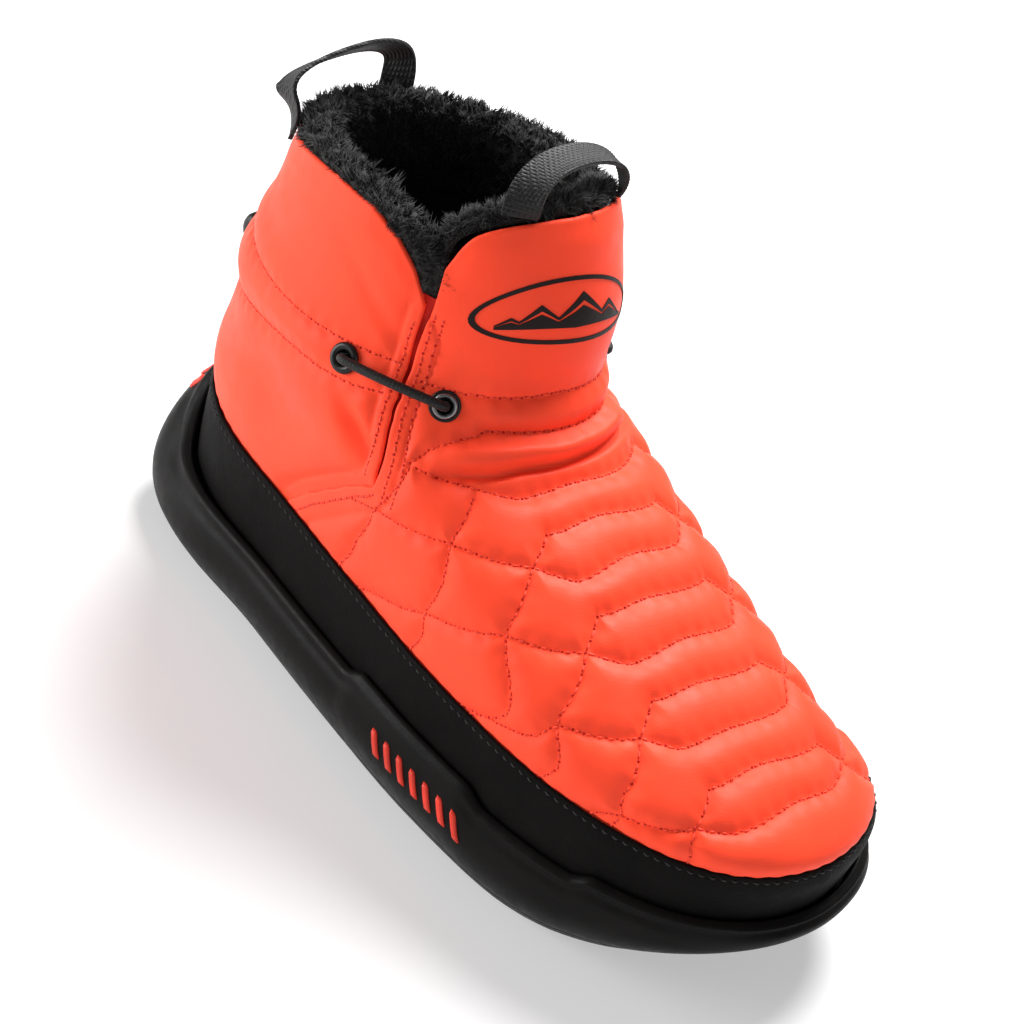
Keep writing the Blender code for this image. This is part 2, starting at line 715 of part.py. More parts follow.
def main():
    clear_scene()
    orange = material("softshell_orange", ORANGE, 0.55)
    orange_deep = material("gusset_orange", ORANGE_DARK, 0.6)
    rand_black = material("rand_black", BLACK_FABRIC, 0.75)
    sole_black = material("sole_black", BLACK_RUBBER, 0.55)
    mark_orange = material("mark_orange", ORANGE, 0.45)
    plush = material("plush_black", FUR_BLACK, 0.95)
    fleece = material("fleece_black", FUR_BLACK, 0.95)
    foam = material("foam_cream", CREAM, 0.9)
    board = material("board_cream", CREAM, 0.85)
    webbing = material("webbing_black", BLACK_FABRIC, 0.7)
    elastic = material("elastic_black", BLACK_FABRIC, 0.65)
    eyelet_grey = material("eyelet_grey", STEEL_GREY, 0.35, 0.9)
    eyelet_black = material("eyelet_black", BLACK_FABRIC, 0.4, 0.5)
    toggle = material("toggle_black", BLACK_RUBBER, 0.45)
    spring = material("spring_steel", STEEL_GREY, 0.3, 1.0)

    collar_pivot = pivot("collar_pivot", (0, -15, 123))
    front_loop_pivot = pivot("front_loop_pivot", (0, 19.8, 199.6))
    heel_loop_pivot = pivot("heel_loop_pivot", (-2.1, 130.4, 174.9))
    lock_pivot = pivot("lock_pivot", LOCK_MIDDLE)
    button_pivot = pivot("button_pivot", LOCK_MIDDLE)

    make_outsole(sole_black)
    make_midsole(sole_black)
    raised_bars("sidewall_bars", mark_orange, 0.176, 9, 0.0075, 0.0035, (0.42, 0.72), 0.006)
    raised_bars("heel_bars", mark_orange, 0.462, 7, 0.011, 0.006, (0.80, 0.90), 0.002)
    make_plate("lasting_board", board, 30.0, 32.4, 12.8)
    make_plate("footbed", fleece, 32.8, 37.5, 13.2)

    make_rand(rand_black)
    u, level = vamp_grid(0.0, 0.0, 7)
    patch("vamp", orange, u, level, SHELL)
    u, level = quarter_grid(0.0, 0.0, GUSSET_HALF_U + EDGE_GAP_U, 8)
    quarter = patch("rear_quarter", orange, u, level, SHELL)
    u, level = collar_grid(0.0, EDGE_GAP_LEVEL, 0.0, 6)
    collar = patch("front_collar", orange, u, level, SHELL, parent=collar_pivot)
    make_gusset("gusset_lateral", orange_deep, 1)
    make_gusset("gusset_medial", orange_deep, -1)

    u, level = vamp_grid(0.05, 0.10, 7)
    patch("padding_vamp", foam, u, level, PADDING)
    u, level = quarter_grid(0.05, 0.05, 0.016, 8)
    patch("padding_rear", foam, u, level, PADDING)
    u, level = collar_grid(0.012, 0.12, 0.05, 6)
    patch("padding_front", foam, u, level, PADDING, parent=collar_pivot)

    split = line_level(LINING_SPLIT)
    u, level = ring_grid(0.0, lambda u: split(u) - 0.06, 7)
    patch("lining_foot", fleece, u, level, LINING, wrap=True)
    left = rear_border(0.018)
    top = line_level(QUARTER_TOP)
    u, level = grid_between(left, lambda level: 1 - left(level), lambda u: split(u) + 0.04, top, 12, 6)
    patch("lining_rear", fleece, u, level, LINING)
    u, level = collar_grid(0.012, 0.10, 0.0, 5)
    patch("lining_front", fleece, u, level, LINING, parent=collar_pivot)

    stiffener_levels = np.array([0.1, 0.5, 1.0, 1.7, 2.4])[:, None]
    for name, columns in (("toe_puff", np.arange(-4, 5)), ("heel_counter", np.arange(14, 23))):
        u = columns / COLUMNS + 0 * stiffener_levels
        patch(name, board, u, stiffener_levels + 0 * u, STIFFENER)

    u, level = fur_rear_grid()
    patch("fur_rear", plush, u, level, FUR_REAR)
    u, level = fur_front_grid()
    patch("fur_front", plush, u, level, FUR_FRONT, parent=collar_pivot)

    for side, inner_side in (("lateral", False), ("medial", True)):
        for place_name, place, shell, finish, parent in (
            ("front", FRONT_EYELET, collar, eyelet_grey, collar_pivot),
            ("rear", REAR_EYELET, quarter, eyelet_black, None),
        ):
            centre, out = skin_frame(place, inner_side)
            hole = cylinder(f"hole_{place_name}_{side}", finish, centre, out, EYELET_HOLE_RADIUS, 8.0)
            cut(shell, as_cutter(hole))
            make_eyelet(f"eyelet_{place_name}_{side}", finish, place, inner_side, parent)
            make_washer(f"washer_{place_name}_{side}", spring, place, inner_side, parent)
        make_cord(f"cord_span_{side}", elastic, cord_span_path(inner_side))
        us, levels = zip(*SIDE_CHANNEL)
        make_cord(f"cord_channel_{side}", elastic, channel_path(us, levels, SIDE_CHANNEL_DEPTH, inner_side))
    us, levels = zip(*(FRONT_CHANNEL + [(-u, level) for u, level in FRONT_CHANNEL[-2::-1]]))
    make_cord("cord_channel_front", elastic, channel_path(us, levels, FRONT_CHANNEL_DEPTH), collar_pivot)

    tail_hole = rounded_box("tail_hole_cutter", elastic, (-5.0, 134.0, 129.6), (2.0, 144.0, 133.4), 0.4)
    cut(quarter, as_cutter(tail_hole))
    for name, x in zip(("cord_tail_lateral", "cord_tail_medial"), TAIL_X):
        make_cord(name, elastic, tail_path(x))
    make_cord_end(toggle)
    make_lock(toggle, spring, lock_pivot, button_pivot)

    make_loop("front_loop", webbing, (0.088, -0.088), 8.6, 0.6, peak_height=15, bulge=0.15, lean=4,
              top_across=(0.0, 1.0, 0.0), parent=front_loop_pivot)
    make_loop("heel_loop", webbing, (0.40, 0.575), 7.33, -2.0, peak_height=24, bulge=1.4, lean=4,
              top_across=(0.0, 0.7, -0.7), parent=heel_loop_pivot)


main()
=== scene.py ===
import math

import bmesh
import bpy
import numpy as np
from mathutils import Matrix, Vector, kdtree
from mathutils.bvhtree import BVHTree


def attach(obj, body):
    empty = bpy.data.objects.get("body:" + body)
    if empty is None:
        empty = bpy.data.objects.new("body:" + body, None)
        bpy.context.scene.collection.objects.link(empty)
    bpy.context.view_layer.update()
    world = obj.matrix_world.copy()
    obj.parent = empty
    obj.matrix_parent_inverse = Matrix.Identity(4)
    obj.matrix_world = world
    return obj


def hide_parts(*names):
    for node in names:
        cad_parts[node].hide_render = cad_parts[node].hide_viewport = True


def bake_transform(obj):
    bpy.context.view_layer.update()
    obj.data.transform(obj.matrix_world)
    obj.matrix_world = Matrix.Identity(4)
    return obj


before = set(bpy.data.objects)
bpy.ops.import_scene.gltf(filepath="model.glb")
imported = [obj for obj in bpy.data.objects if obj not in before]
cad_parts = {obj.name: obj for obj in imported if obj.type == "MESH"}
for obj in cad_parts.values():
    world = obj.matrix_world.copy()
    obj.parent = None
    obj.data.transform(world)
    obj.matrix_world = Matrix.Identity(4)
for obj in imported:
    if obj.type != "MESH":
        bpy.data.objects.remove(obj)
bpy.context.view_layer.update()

# Lengths in this file are millimetres until metres() turns them into the frame's metres.
RANDOM = np.random.default_rng(7)
MM = 0.001
ORIGIN_SHIFT = np.array([2.1, -0.6, 0.0])

# ==== The skin: the last that the upper is pulled over

FOOT_OUTLINE = [
    (8, -152), (-22, -144), (-45, -121), (-58, -80), (-59, -31), (-53, 19), (-46, 64), (-38, 108), (-21, 136),
    (0, 143), (21, 136), (37, 110), (41, 65), (41, 22), (47, -25), (55, -72), (56, -115), (40, -143),
]
FOOT_HALF_WIDTH = 54
FOOT_MIDDLE_Y = -5
FOOT_HALF_LENGTH = 149
RINGS = [
    (-152, 30, 143, 30, 1.00, 0, 0.0),
    (-153, 54, 144, 60, 1.00, 0, 0.0),
    (-146, 66, 141, 84, 0.92, -6, 0.10),
    (-103, 84, 138, 104, 0.93, -5, 0.35),
    (-56, 104, 140, 124, 0.95, -4, 0.65),
    (-14, 123, 137, 142, 0.95, -2, 0.90),
    (-1, 142, 134, 154, 0.91, 0, 1.0),
    (3, 165, 132, 170, 0.89, 1, 1.0),
    (11, 188, 131, 188, 0.87, 0, 1.0),
    (18, 208, 130, 206, 0.86, 0, 1.0),
]
CREASE = [(0.0, 5.05), (0.06, 4.98), (0.10, 4.82), (0.133, 4.68), (0.158, 4.52)]
GUSSET = [(0.168, 6.68), (0.170, 5.8), (0.174, 5.26), (0.185, 4.86), (0.200, 4.48), (0.219, 4.02),
          (0.240, 3.52)]
SEAM = [(0.240, 3.52), (0.275, 2.92), (0.301, 2.36), (0.319, 1.84), (0.3333, 1.12)]
QUARTER_TOP = [(0.168, 6.68), (0.186, 7.26), (0.203, 7.56), (0.232, 7.8), (0.282, 7.8), (0.33, 7.65),
               (0.40, 7.3), (0.5, 7.2)]
COLLAR_TOP = [(0.0, 8.6), (0.05, 8.55), (0.09, 8.4), (0.12, 8.2), (0.14, 8.0), (0.15, 7.8), (0.156, 7.5)]
LINING_SPLIT = [(0.0, 5.05), (0.10, 4.82), (0.158, 4.52), (0.24, 3.3), (0.30, 2.8), (0.5, 2.8)]
FRONT_EYELET = (0.135, 5.50)
REAR_EYELET = (0.226, 5.22)


def metres(points):
    return (np.asarray(points, float) + ORIGIN_SHIFT) * MM


def unit(vectors):
    vectors = np.asarray(vectors, float)
    return vectors / np.linalg.norm(vectors, axis=-1, keepdims=True)


def smooth_step(low, high, x):
    t = np.clip((np.asarray(x, float) - low) / (high - low), 0, 1)
    return t * t * (3 - 2 * t)


def bump(x, middle, width):
    return np.exp(-(((np.asarray(x, float) - middle) / width) ** 2))


def lengths_along(points):
    """Distance of each point of a path from its start, along the path."""
    return np.concatenate([[0], np.cumsum(np.linalg.norm(np.diff(points, axis=0), axis=1))])


def columns_at(at, lengths, values):
    """Rows of values, one for each length, read off at other lengths."""
    return np.stack([np.interp(at, lengths, values[:, k]) for k in range(values.shape[1])], -1)


def angles_round(count):
    return np.arange(count) * 2 * math.pi / count


def spline(points, t, closed=False):
    points = np.array(points, float)
    count = len(points)
    t = np.asarray(t, float)
    if closed:
        t = t % 1 * count
        i = np.floor(t).astype(int)
        a, b, c, d = (points[(i + k) % count] for k in (-1, 0, 1, 2))
    else:
        i = np.clip(np.floor(t).astype(int), 0, count - 2)
        padded = np.concatenate([2 * points[:1] - points[1:2], points, 2 * points[-1:] - points[-2:-1]])
        a, b, c, d = (padded[i + k] for k in (0, 1, 2, 3))
    f = (t - i).reshape(t.shape + (1,) * (points.ndim - 1))
    return 0.5 * (2 * b + (c - a) * f + (2 * a - 5 * b + 4 * c - d) * f**2 + (3 * b - a - 3 * c + d) * f**3)


def skin(u, level):
    u, level = np.broadcast_arrays(np.asarray(u, float), np.asarray(level, float))
    front_y, front_z, back_y, back_z, width, shift, roundness = np.moveaxis(spline(RINGS, level), -1, 0)
    foot = spline(FOOT_OUTLINE, u, True)
    angle = 2 * math.pi * u
    across = foot[..., 0] / FOOT_HALF_WIDTH * (1 - roundness) - np.sin(angle) * roundness
    along = (foot[..., 1] - FOOT_MIDDLE_Y) / FOOT_HALF_LENGTH * (1 - roundness) - np.cos(angle) * roundness
    x = FOOT_HALF_WIDTH * width * across + shift
    y = (front_y + back_y) / 2 + (back_y - front_y) / 2 * along
    z = front_z + (back_z - front_z) * (along + 1) / 2
    return np.stack([x, y, z], -1)


def skin_normal(u, level):
    step_u, step_level = 0.004, 0.04
    round_it = skin(np.asarray(u) + step_u, level) - skin(np.asarray(u) - step_u, level)
    up_it = skin(u, np.asarray(level) + step_level) - skin(u, np.asarray(level) - step_level)
    return unit(np.cross(up_it, round_it))


def layer(u, level, depth):
    return skin(u, level) - skin_normal(u, level) * np.asarray(depth, float)[..., None]


def mirrored(u):
    u = np.abs(np.asarray(u, float))
    return np.where(u > 0.5, 1 - u, u)


def line_level(line):
    us, levels = zip(*line)
    return lambda u: np.interp(mirrored(u), us, levels)


def border_u(level):
    """u of the line where the front of the upper meets the quarter."""
    points = sorted((at, u) for u, at in set(SEAM + GUSSET))
    levels, us = zip(*points)
    return np.interp(level, levels, us)


def grid_between(left, right, bottom, top, columns, rows):
    """Grids of u and level. left and right give u at a level, bottom and top give the level at a u."""
    s = np.linspace(0, 1, columns + 1)
    t = np.linspace(0, 1, rows + 1)[:, None]
    u = np.broadcast_to(left(5.0) + (right(5.0) - left(5.0)) * s, (rows + 1, columns + 1))
    for _ in range(12):
        level = bottom(u) + (top(u) - bottom(u)) * t
        u = left(level) + (right(level) - left(level)) * s
    return u, level


# ==== Meshes

def grid_faces(rows, columns, wrap=False):
    """Quads of a grid of points; they face outwards on the skin, where rows go up and columns go round."""
    index = np.arange(rows * columns).reshape(rows, columns)
    if wrap:
        index = np.hstack([index, index[:, :1]])
    corners = [index[:-1, :-1], index[1:, :-1], index[1:, 1:], index[:-1, 1:]]
    return np.stack(corners, -1).reshape(-1, 4)


def add_piece(name, points, faces, finish, closed=False, sharp=None):
    mesh = bpy.data.meshes.new(name)
    faces = faces.tolist() if isinstance(faces, np.ndarray) else faces
    mesh.from_pydata(metres(points).tolist(), [], faces)
    if closed:
        builder = bmesh.new()
        builder.from_mesh(mesh)
        bmesh.ops.recalc_face_normals(builder, faces=builder.faces)
        builder.to_mesh(mesh)
        builder.free()
    mesh.materials.append(finish)
    mesh.shade_smooth()
    if sharp:
        mesh.set_sharp_from_angle(angle=math.radians(sharp))
    obj = bpy.data.objects.new(name, mesh)
    bpy.context.scene.collection.objects.link(obj)
    return obj


def add_grid(name, points, finish, wrap=False):
    rows, columns = points.shape[:2]
    return add_piece(name, points.reshape(-1, 3), grid_faces(rows, columns, wrap), finish)


def declare(obj, slot, body, *nodes):
    """Says which CAD nodes a rigid piece stands for and the body it rides on; slot, its material slot, is not
    used.
    """
    if nodes:
        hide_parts(*nodes)
    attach(obj, body)


class Pile:
    """Many small solids gathered into one mesh."""

    def __init__(self):
        self.points, self.faces, self.count = [], [], 0

    def add(self, points, faces):
        points = np.asarray(points, float).reshape(-1, 3)
        self.points.append(points)
        self.faces.extend([[k + self.count for k in face] for face in faces])
        self.count += len(points)

    def finish(self, name, finish, sharp=None):
        return add_piece(name, np.vstack(self.points), self.faces, finish, True, sharp)


def tube_faces(rings, sides):
    faces = grid_faces(rings, sides, True).tolist()
    faces.append(list(range(sides)))
    faces.append([sides * (rings - 1) + k for k in range(sides)])
    return faces


def frame_along(path, across):
    tangent = unit(np.gradient(path, axis=0))
    side = unit(across - (across * tangent).sum(1, keepdims=True) * tangent)
    return side, np.cross(tangent, side)


def tube_points(path, across, outline):
    """Points of an outline carried along a path: (side, up) points, the same or others for each place."""
    path = np.array(path, float)
    side, up = frame_along(path, np.array(across, float) * np.ones_like(path))
    outline = np.broadcast_to(np.array(outline, float), (len(path),) + np.shape(outline)[-2:])
    return path[:, None] + side[:, None] * outline[..., :1] + up[:, None] * outline[..., 1:]


def circle(radius, sides):
    angles = angles_round(sides)
    return np.stack([radius * np.cos(angles), radius * np.sin(angles)], -1)


def resample(path, count):
    path = np.array(path, float)
    lengths = lengths_along(path)
    return columns_at(np.linspace(0, lengths[-1], count), lengths, path)


def smooth_path(points, count):
    points = np.array(points, float)
    return resample(spline(points, np.linspace(0, len(points) - 1, 40 * len(points))), count)


def roll_edge(points, normals, radius, tuck, turns):
    """Rows that follow a grid's last row and curl it over towards the inside, by turns in degrees."""
    last = points[-1]
    outward = unit(last - points[-3])
    rows = []
    for angle in np.radians(turns):
        rows.append(last + outward * radius * np.sin(angle) - normals * radius * (1 - np.cos(angle)))
    rows.append(rows[-1] - outward * tuck)
    return np.array(rows)


def with_rolled_edges(points, normals):
    """The grid of an upper with its left, right and top edges curled in, as folded fabric."""
    def sideways(a):
        return np.swapaxes(a, 0, 1)

    left = (lambda a: sideways(a)[::-1], lambda a: sideways(a[::-1]))
    for turn, turn_back in (left, (sideways, sideways), (np.asarray, np.asarray)):
        p, n = turn(points), turn(normals)
        extra = roll_edge(p, n[-1], 1.1, 3.0, (25, 50, 75, 100, 130, 160, 180))
        p = np.concatenate([p, extra])
        n = np.concatenate([n, np.broadcast_to(n[-1], extra.shape)])
        points, normals = turn_back(p), turn_back(n)
    return points


def blur(values, passes):
    for _ in range(passes):
        padded = np.pad(values, 1, mode="edge")
        beside = padded[:-2, 1:-1] + padded[2:, 1:-1] + padded[1:-1, :-2] + padded[1:-1, 2:]
        values = (4 * values + beside) / 8
    return values


def surface_tree(obj):
    return BVHTree.FromObject(obj, bpy.context.evaluated_depsgraph_get())


def drop(tree, u, level):
    """Points and normals of a made surface over places on the skin."""
    reach = 14.0
    starts, outs = skin(u, level), skin_normal(u, level)
    places, facing = starts.copy(), outs.copy()
    for k, (start, out) in enumerate(zip(starts.reshape(-1, 3), outs.reshape(-1, 3))):
        origin = Vector(metres(start + out * reach))
        hit, normal, _, _ = tree.ray_cast(origin, Vector(-out), 2 * reach * MM)
        if hit is not None:
            normal = np.array(normal)
            places.reshape(-1, 3)[k] = np.array(hit) / MM - ORIGIN_SHIFT
            facing.reshape(-1, 3)[k] = normal if normal @ out > 0 else -normal
    return places, facing


# ==== Lines of stitching

LINE_PITCH = 0.6
CORNER_SAMPLES = 25


def dense(line, pitch=LINE_PITCH, straight=False):
    """(u, level) places evenly spaced along a line on the skin. A straight line gets rounded corners."""
    line = np.array(line, float)
    fine = 60 * (len(line) - 1) + 1
    t = np.linspace(0, len(line) - 1, fine)
    if straight:
        places = np.stack([np.interp(t, np.arange(len(line)), line[:, k]) for k in (0, 1)], -1)
        padded = np.pad(places, ((CORNER_SAMPLES // 2,) * 2, (0, 0)), mode="reflect", reflect_type="odd")
        window = np.ones(CORNER_SAMPLES) / CORNER_SAMPLES
        places = np.stack([np.convolve(padded[:, k], window, "valid") for k in (0, 1)], -1)
    else:
        places = spline(line, t)
    lengths = lengths_along(skin(places[:, 0], places[:, 1]))
    at = np.linspace(0, lengths[-1], max(3, int(round(lengths[-1] / pitch)) + 1))
    return columns_at(at, lengths, places)


def inner(line):
    """The same line on the foot's inner side. The pattern is even about the foot's middle, not u = 0."""
    near_top = [1 - smooth_step(0.11, 0.22, u) for u, _ in line]
    return [(-(u - 0.028 * near), level + 0.07 * near) for (u, level), near in zip(line, near_top)]


SLOT_LEFT = [(0.107, 4.04), (0.100, 3.42), (0.094, 2.80), (0.090, 2.10)]
SLOT_TOPS = [
    [(0.078, 4.38), (0.014, 4.54), (-0.061, 4.36)],
    [(0.073, 3.76), (0.016, 3.90), (-0.052, 3.76)],
    [(0.069, 3.14), (0.018, 3.27), (-0.044, 3.14)],
    [(0.064, 2.50), (0.014, 2.64), (-0.046, 2.47)],
]
SLOT_BOTTOMS = [
    [(0.075, 4.02), (0.012, 4.22), (-0.051, 4.07)],
    [(0.071, 3.41), (0.012, 3.57), (-0.048, 3.43)],
    [(0.070, 2.78), (0.018, 2.92), (-0.043, 2.81)],
    [(0.067, 2.12), (0.011, 2.32), (-0.034, 2.20)],
]
FALLING = [
    [(0.278, 2.78), (0.250, 3.16), (0.175, 3.78), SLOT_LEFT[0]],
    [(0.283, 1.08), (0.235, 2.28), (0.164, 3.12), SLOT_LEFT[1]],
    [(0.215, 1.12), (0.156, 2.46), SLOT_LEFT[2]],
    [(0.149, 1.15), (0.136, 1.66), SLOT_LEFT[3]],
]
RISING = [
    [(0.293, 1.14), (0.282, 2.16), (0.250, 3.16), (0.181, 4.44)],
    [(0.244, 1.14), (0.235, 2.28), (0.175, 3.78), (0.126, 4.56)],
    [(0.210, 1.08), (0.164, 3.12), SLOT_LEFT[0]],
    [(0.174, 1.04), (0.156, 2.46), SLOT_LEFT[1]],
    [(0.139, 1.10), (0.132, 2.06), SLOT_LEFT[2]],
    [(0.101, 1.12), (0.099, 1.80), SLOT_LEFT[3]],
]
CREASE_BAND = [(0.178, 4.42), (0.151, 4.52), (0.119, 4.62), (0.086, 4.66), (0.057, 4.76), (0.014, 4.84),
               (-0.060, 4.72), (-0.094, 4.66)]
COLLAR_UPPER = [(0.158, 5.70), (0.125, 5.80), (0.093, 5.90), (0.017, 6.06)]
COLLAR_LOWER = [(0.182, 4.44), (0.171, 4.58), (0.149, 4.84), (0.108, 5.22), (0.088, 5.38), (0.014, 5.48)]
QUARTER_UPPER = [(0.179, 5.80), (0.226, 5.53), (0.29, 5.12), (0.36, 4.78), (0.42, 4.66), (0.5, 4.66)]
QUARTER_LOWER = [(0.190, 5.14), (0.226, 4.86), (0.29, 4.42), (0.36, 3.90), (0.42, 3.50), (0.5, 3.38)]
BAND_ROWS = (0.0048, 0.0128)
STITCH_PITCH = 3.6
RAND_LINE_LEVEL = 1.15


def there_and_back(line):
    """A line that crosses the middle of the foot, with its other half mirrored."""
    return line + [(-u, level) for u, level in line[:-1]][::-1]


def quilt_lines():
    """Every stitched line of the quilting on the front of the upper, as dense lists of places."""
    lines = [dense(line, straight=True) for line in FALLING + RISING]
    lines += [dense(inner(line), straight=True) for line in FALLING + RISING]
    for left, top, bottom in zip(SLOT_LEFT, SLOT_TOPS, SLOT_BOTTOMS):
        right = inner([left])[0]
        ends = ([left, top[0]], [left, bottom[0]], [top[-1], right], [bottom[-1], right])
        lines += [dense(line) for line in (top, bottom) + ends]
    lines.append(dense(CREASE_BAND))
    return lines


def collar_lines():
    return [dense(there_and_back(COLLAR_UPPER)), dense(there_and_back(COLLAR_LOWER))]


def quarter_lines():
    def around(line):
        return line + [(1 - u, level) for u, level in line[:-1]][::-1]
    return [dense(around(QUARTER_UPPER)), dense(around(QUARTER_LOWER))]


def band_line(offset, levels, inner_side):
    """A line beside the gusset and the seam, at an offset in u from the border."""
    level = np.linspace(levels[0], levels[1], 14)
    u = border_u(level) + offset
    u = np.where(level > GUSSET[0][1], GUSSET[0][0] + offset, u)
    u = 1 - u if inner_side else u
    return dense(np.stack([u, level], -1))


def rand_line(first_u, last_u, count):
    """The line where the rand presses the upper down."""
    return dense([(u, RAND_LINE_LEVEL) for u in np.linspace(first_u, last_u, count)])


def tree_of(lines):
    places = np.vstack(lines)
    points = skin(places[:, 0], places[:, 1])
    tree = kdtree.KDTree(len(points))
    for k, point in enumerate(points):
        tree.insert(point, k)
    tree.balance()
    return tree


def nearest(tree, points):
    """Distance to the nearest line, and how far along the lines that place is."""
    flat = points.reshape(-1, 3)
    found = np.array([tree.find(point)[1:] for point in flat]).reshape(points.shape[:-1] + (2,))
    return found[..., 1], found[..., 0] * LINE_PITCH


# ==== Fabric relief

def puff(distance, reach, height):
    """Height of stuffing at a distance from the nearest stitched line."""
    t = np.clip(distance / reach, 0, 1)
    return height * np.sqrt(1 - (1 - t) ** 2)


def ripples(points, size):
    x, y, z = np.moveaxis(points / size, -1, 0)
    return (np.sin(1.9 * x + 0.7 * y + 1.3) * np.sin(1.3 * y - 0.8 * z + 0.4) + np.sin(1.1 * z + 1.7 * x)
            * np.sin(2.3 * y + 0.5 * x + 2.0)) / 2


def puckers(distance, along):
    """Short gathers that the thread pulls into the fabric beside a line."""
    gathers = np.sin(along * 2 * math.pi / (2 * STITCH_PITCH))
    return 0.28 * np.exp(-((distance / 3.2) ** 2)) * gathers * smooth_step(0.2, 1.5, distance)


def front_rise(u, level):
    points = skin(u, level)
    quilt, along = nearest(FRONT_TREE, points)
    edge, _ = nearest(FRONT_EDGE_TREE, points)
    edge = edge + 9 * smooth_step(6.3, 7.0, level)
    panel = smooth_step(5.7, 6.3, level)
    reach = 9.2 + 6 * panel
    height = 3.8 - 0.7 * smooth_step(0.08, 0.15, np.abs(u)) - 1.2 * panel
    rise = puff(np.minimum(quilt, np.maximum(edge - 6.2, 0)), reach, height) - 1.1
    rise = np.maximum(rise, 0.35 * smooth_step(7.5, 4.5, edge) - 1.1 * smooth_step(5.0, 7.5, edge))
    rise += puckers(quilt, along) * (1 - 0.6 * panel) + 0.35 * ripples(points, 13)
    crease_distance, _ = nearest(CREASE_TREE, points)
    side = np.abs(u)
    deep = smooth_step(0.168, 0.12, side)
    above = (level - line_level(CREASE)(u)) * 19
    lateral = smooth_step(-0.115, -0.055, u)
    rise -= (1.6 + 3.2 * deep) * np.exp(-((crease_distance / 1.5) ** 2))
    rise += 3.2 * deep * lateral * bump(above, 3.8, 2.9) - 1.6 * (1 - lateral) * bump(above, 7, 7)
    rise -= 0.8 * deep * bump(above, -3, 3)
    return settle(rise, points, level, FRONT_EYELET)


def settle(rise, points, level, eyelet):
    """Sinks the fabric round an eyelet and its twin, into their bores and behind the rand."""
    u, at = eyelet
    near, far = (np.linalg.norm(points - skin(side_u, at), axis=-1) for side_u in (u, 1 - u))
    dents = np.maximum(np.exp(-((near / 9.0) ** 2)), np.exp(-((far / 9.0) ** 2)))
    rise = rise * (1 - dents) + 0.2 * dents
    rise = rise - 5.0 * smooth_step(3.3, 2.7, near) - 5.0 * smooth_step(3.3, 2.7, far)
    behind_rand = smooth_step(1.22, 1.13, level)
    return rise * (1 - behind_rand) - 1.1 * behind_rand


def quarter_rise(u, level):
    points = skin(u, level)
    seam, along = nearest(QUARTER_TREE, points)
    edge, _ = nearest(QUARTER_EDGE_TREE, points)
    upper = smooth_step(5.0, 6.2, level + 4 * smooth_step(0.25, 0.45, mirrored(u)) * 0.3)
    rise = puff(np.minimum(seam, np.maximum(edge - 5.4, 0)), 13.0, 3.0 - 0.6 * upper) - 1.0
    rise = np.maximum(rise, 0.4 * smooth_step(6.5, 3.5, edge) - 1.0 * smooth_step(4.0, 6.5, edge))
    rise += puckers(seam, along) + 0.4 * ripples(points, 19)
    side = mirrored(u)
    centre = border_u(level) + 0.013 + 0.026 * smooth_step(3.7, 4.8, level)
    hollow = bump(side, centre, 0.012) * bump(level, 4.15, 0.42)
    rise -= 4.6 * hollow * smooth_step(3.0, 6.5, edge)
    pleat = bump(side - 0.07 * (level - 6.4), 0.205, 0.016) * bump(level, 6.3, 0.6)
    rise -= 0.9 * pleat
    return settle(rise, points, level, REAR_EYELET)


# ==== Materials

def new_material(name, colour, roughness, metallic=0.0, sheen=0.0, specular=0.5):
    """A new material with its object coordinates: (material, node tree, shader, coordinates)."""
    made = bpy.data.materials.new(name)
    made.use_nodes = True
    tree = made.node_tree
    shader = tree.nodes["Principled BSDF"]
    shader.inputs["Base Color"].default_value = (*colour, 1.0)
    shader.inputs["Roughness"].default_value = roughness
    shader.inputs["Metallic"].default_value = metallic
    shader.inputs["Sheen Weight"].default_value = sheen
    shader.inputs["Specular IOR Level"].default_value = specular
    return made, tree, shader, tree.nodes.new("ShaderNodeTexCoord").outputs["Object"]


def node(tree, kind, **inputs):
    made = tree.nodes.new(kind)
    for name, value in inputs.items():
        made.inputs[name.replace("_", " ")].default_value = value
    return made


def noise(tree, source, scale, detail=3.0, roughness=0.55):
    made = node(tree, "ShaderNodeTexNoise", Scale=scale, Detail=detail, Roughness=roughness)
    tree.links.new(source, made.inputs["Vector"])
    return made.outputs["Fac"]


def wave(tree, source, scale, direction):
    made = node(tree, "ShaderNodeTexWave", Scale=scale, Distortion=0.0)
    made.bands_direction = direction
    made.wave_profile = "SIN"
    tree.links.new(source, made.inputs["Vector"])
    return made.outputs["Fac"]


def ramp(tree, source, stops, socket):
    """Maps a pattern to colours or grey values by its stops and feeds them to a socket of the shader."""
    made = tree.nodes.new("ShaderNodeValToRGB")
    ends = made.color_ramp.elements
    while len(ends) < len(stops):
        ends.new(0.5)
    for element, (place, colour) in zip(ends, stops):
        element.position = place
        element.color = (*colour, 1.0) if np.ndim(colour) else (colour, colour, colour, 1.0)
    tree.links.new(source, made.inputs["Fac"])
    tree.links.new(made.outputs["Color"], tree.nodes["Principled BSDF"].inputs[socket])


def shades(tree, pattern, colour, places, factors):
    """Uneven colour: the base colour scaled by a factor at each place of a pattern."""
    stops = [(place, scaled(colour, factor)) for place, factor in zip(places, factors)]
    ramp(tree, pattern, stops, "Base Color")


def add_bump(tree, shader, height, strength, distance, before=None):
    made = node(tree, "ShaderNodeBump", Strength=strength, Distance=distance)
    tree.links.new(height, made.inputs["Height"])
    if before is not None:
        tree.links.new(before, made.inputs["Normal"])
    tree.links.new(made.outputs["Normal"], shader.inputs["Normal"])
    return made.outputs["Normal"]


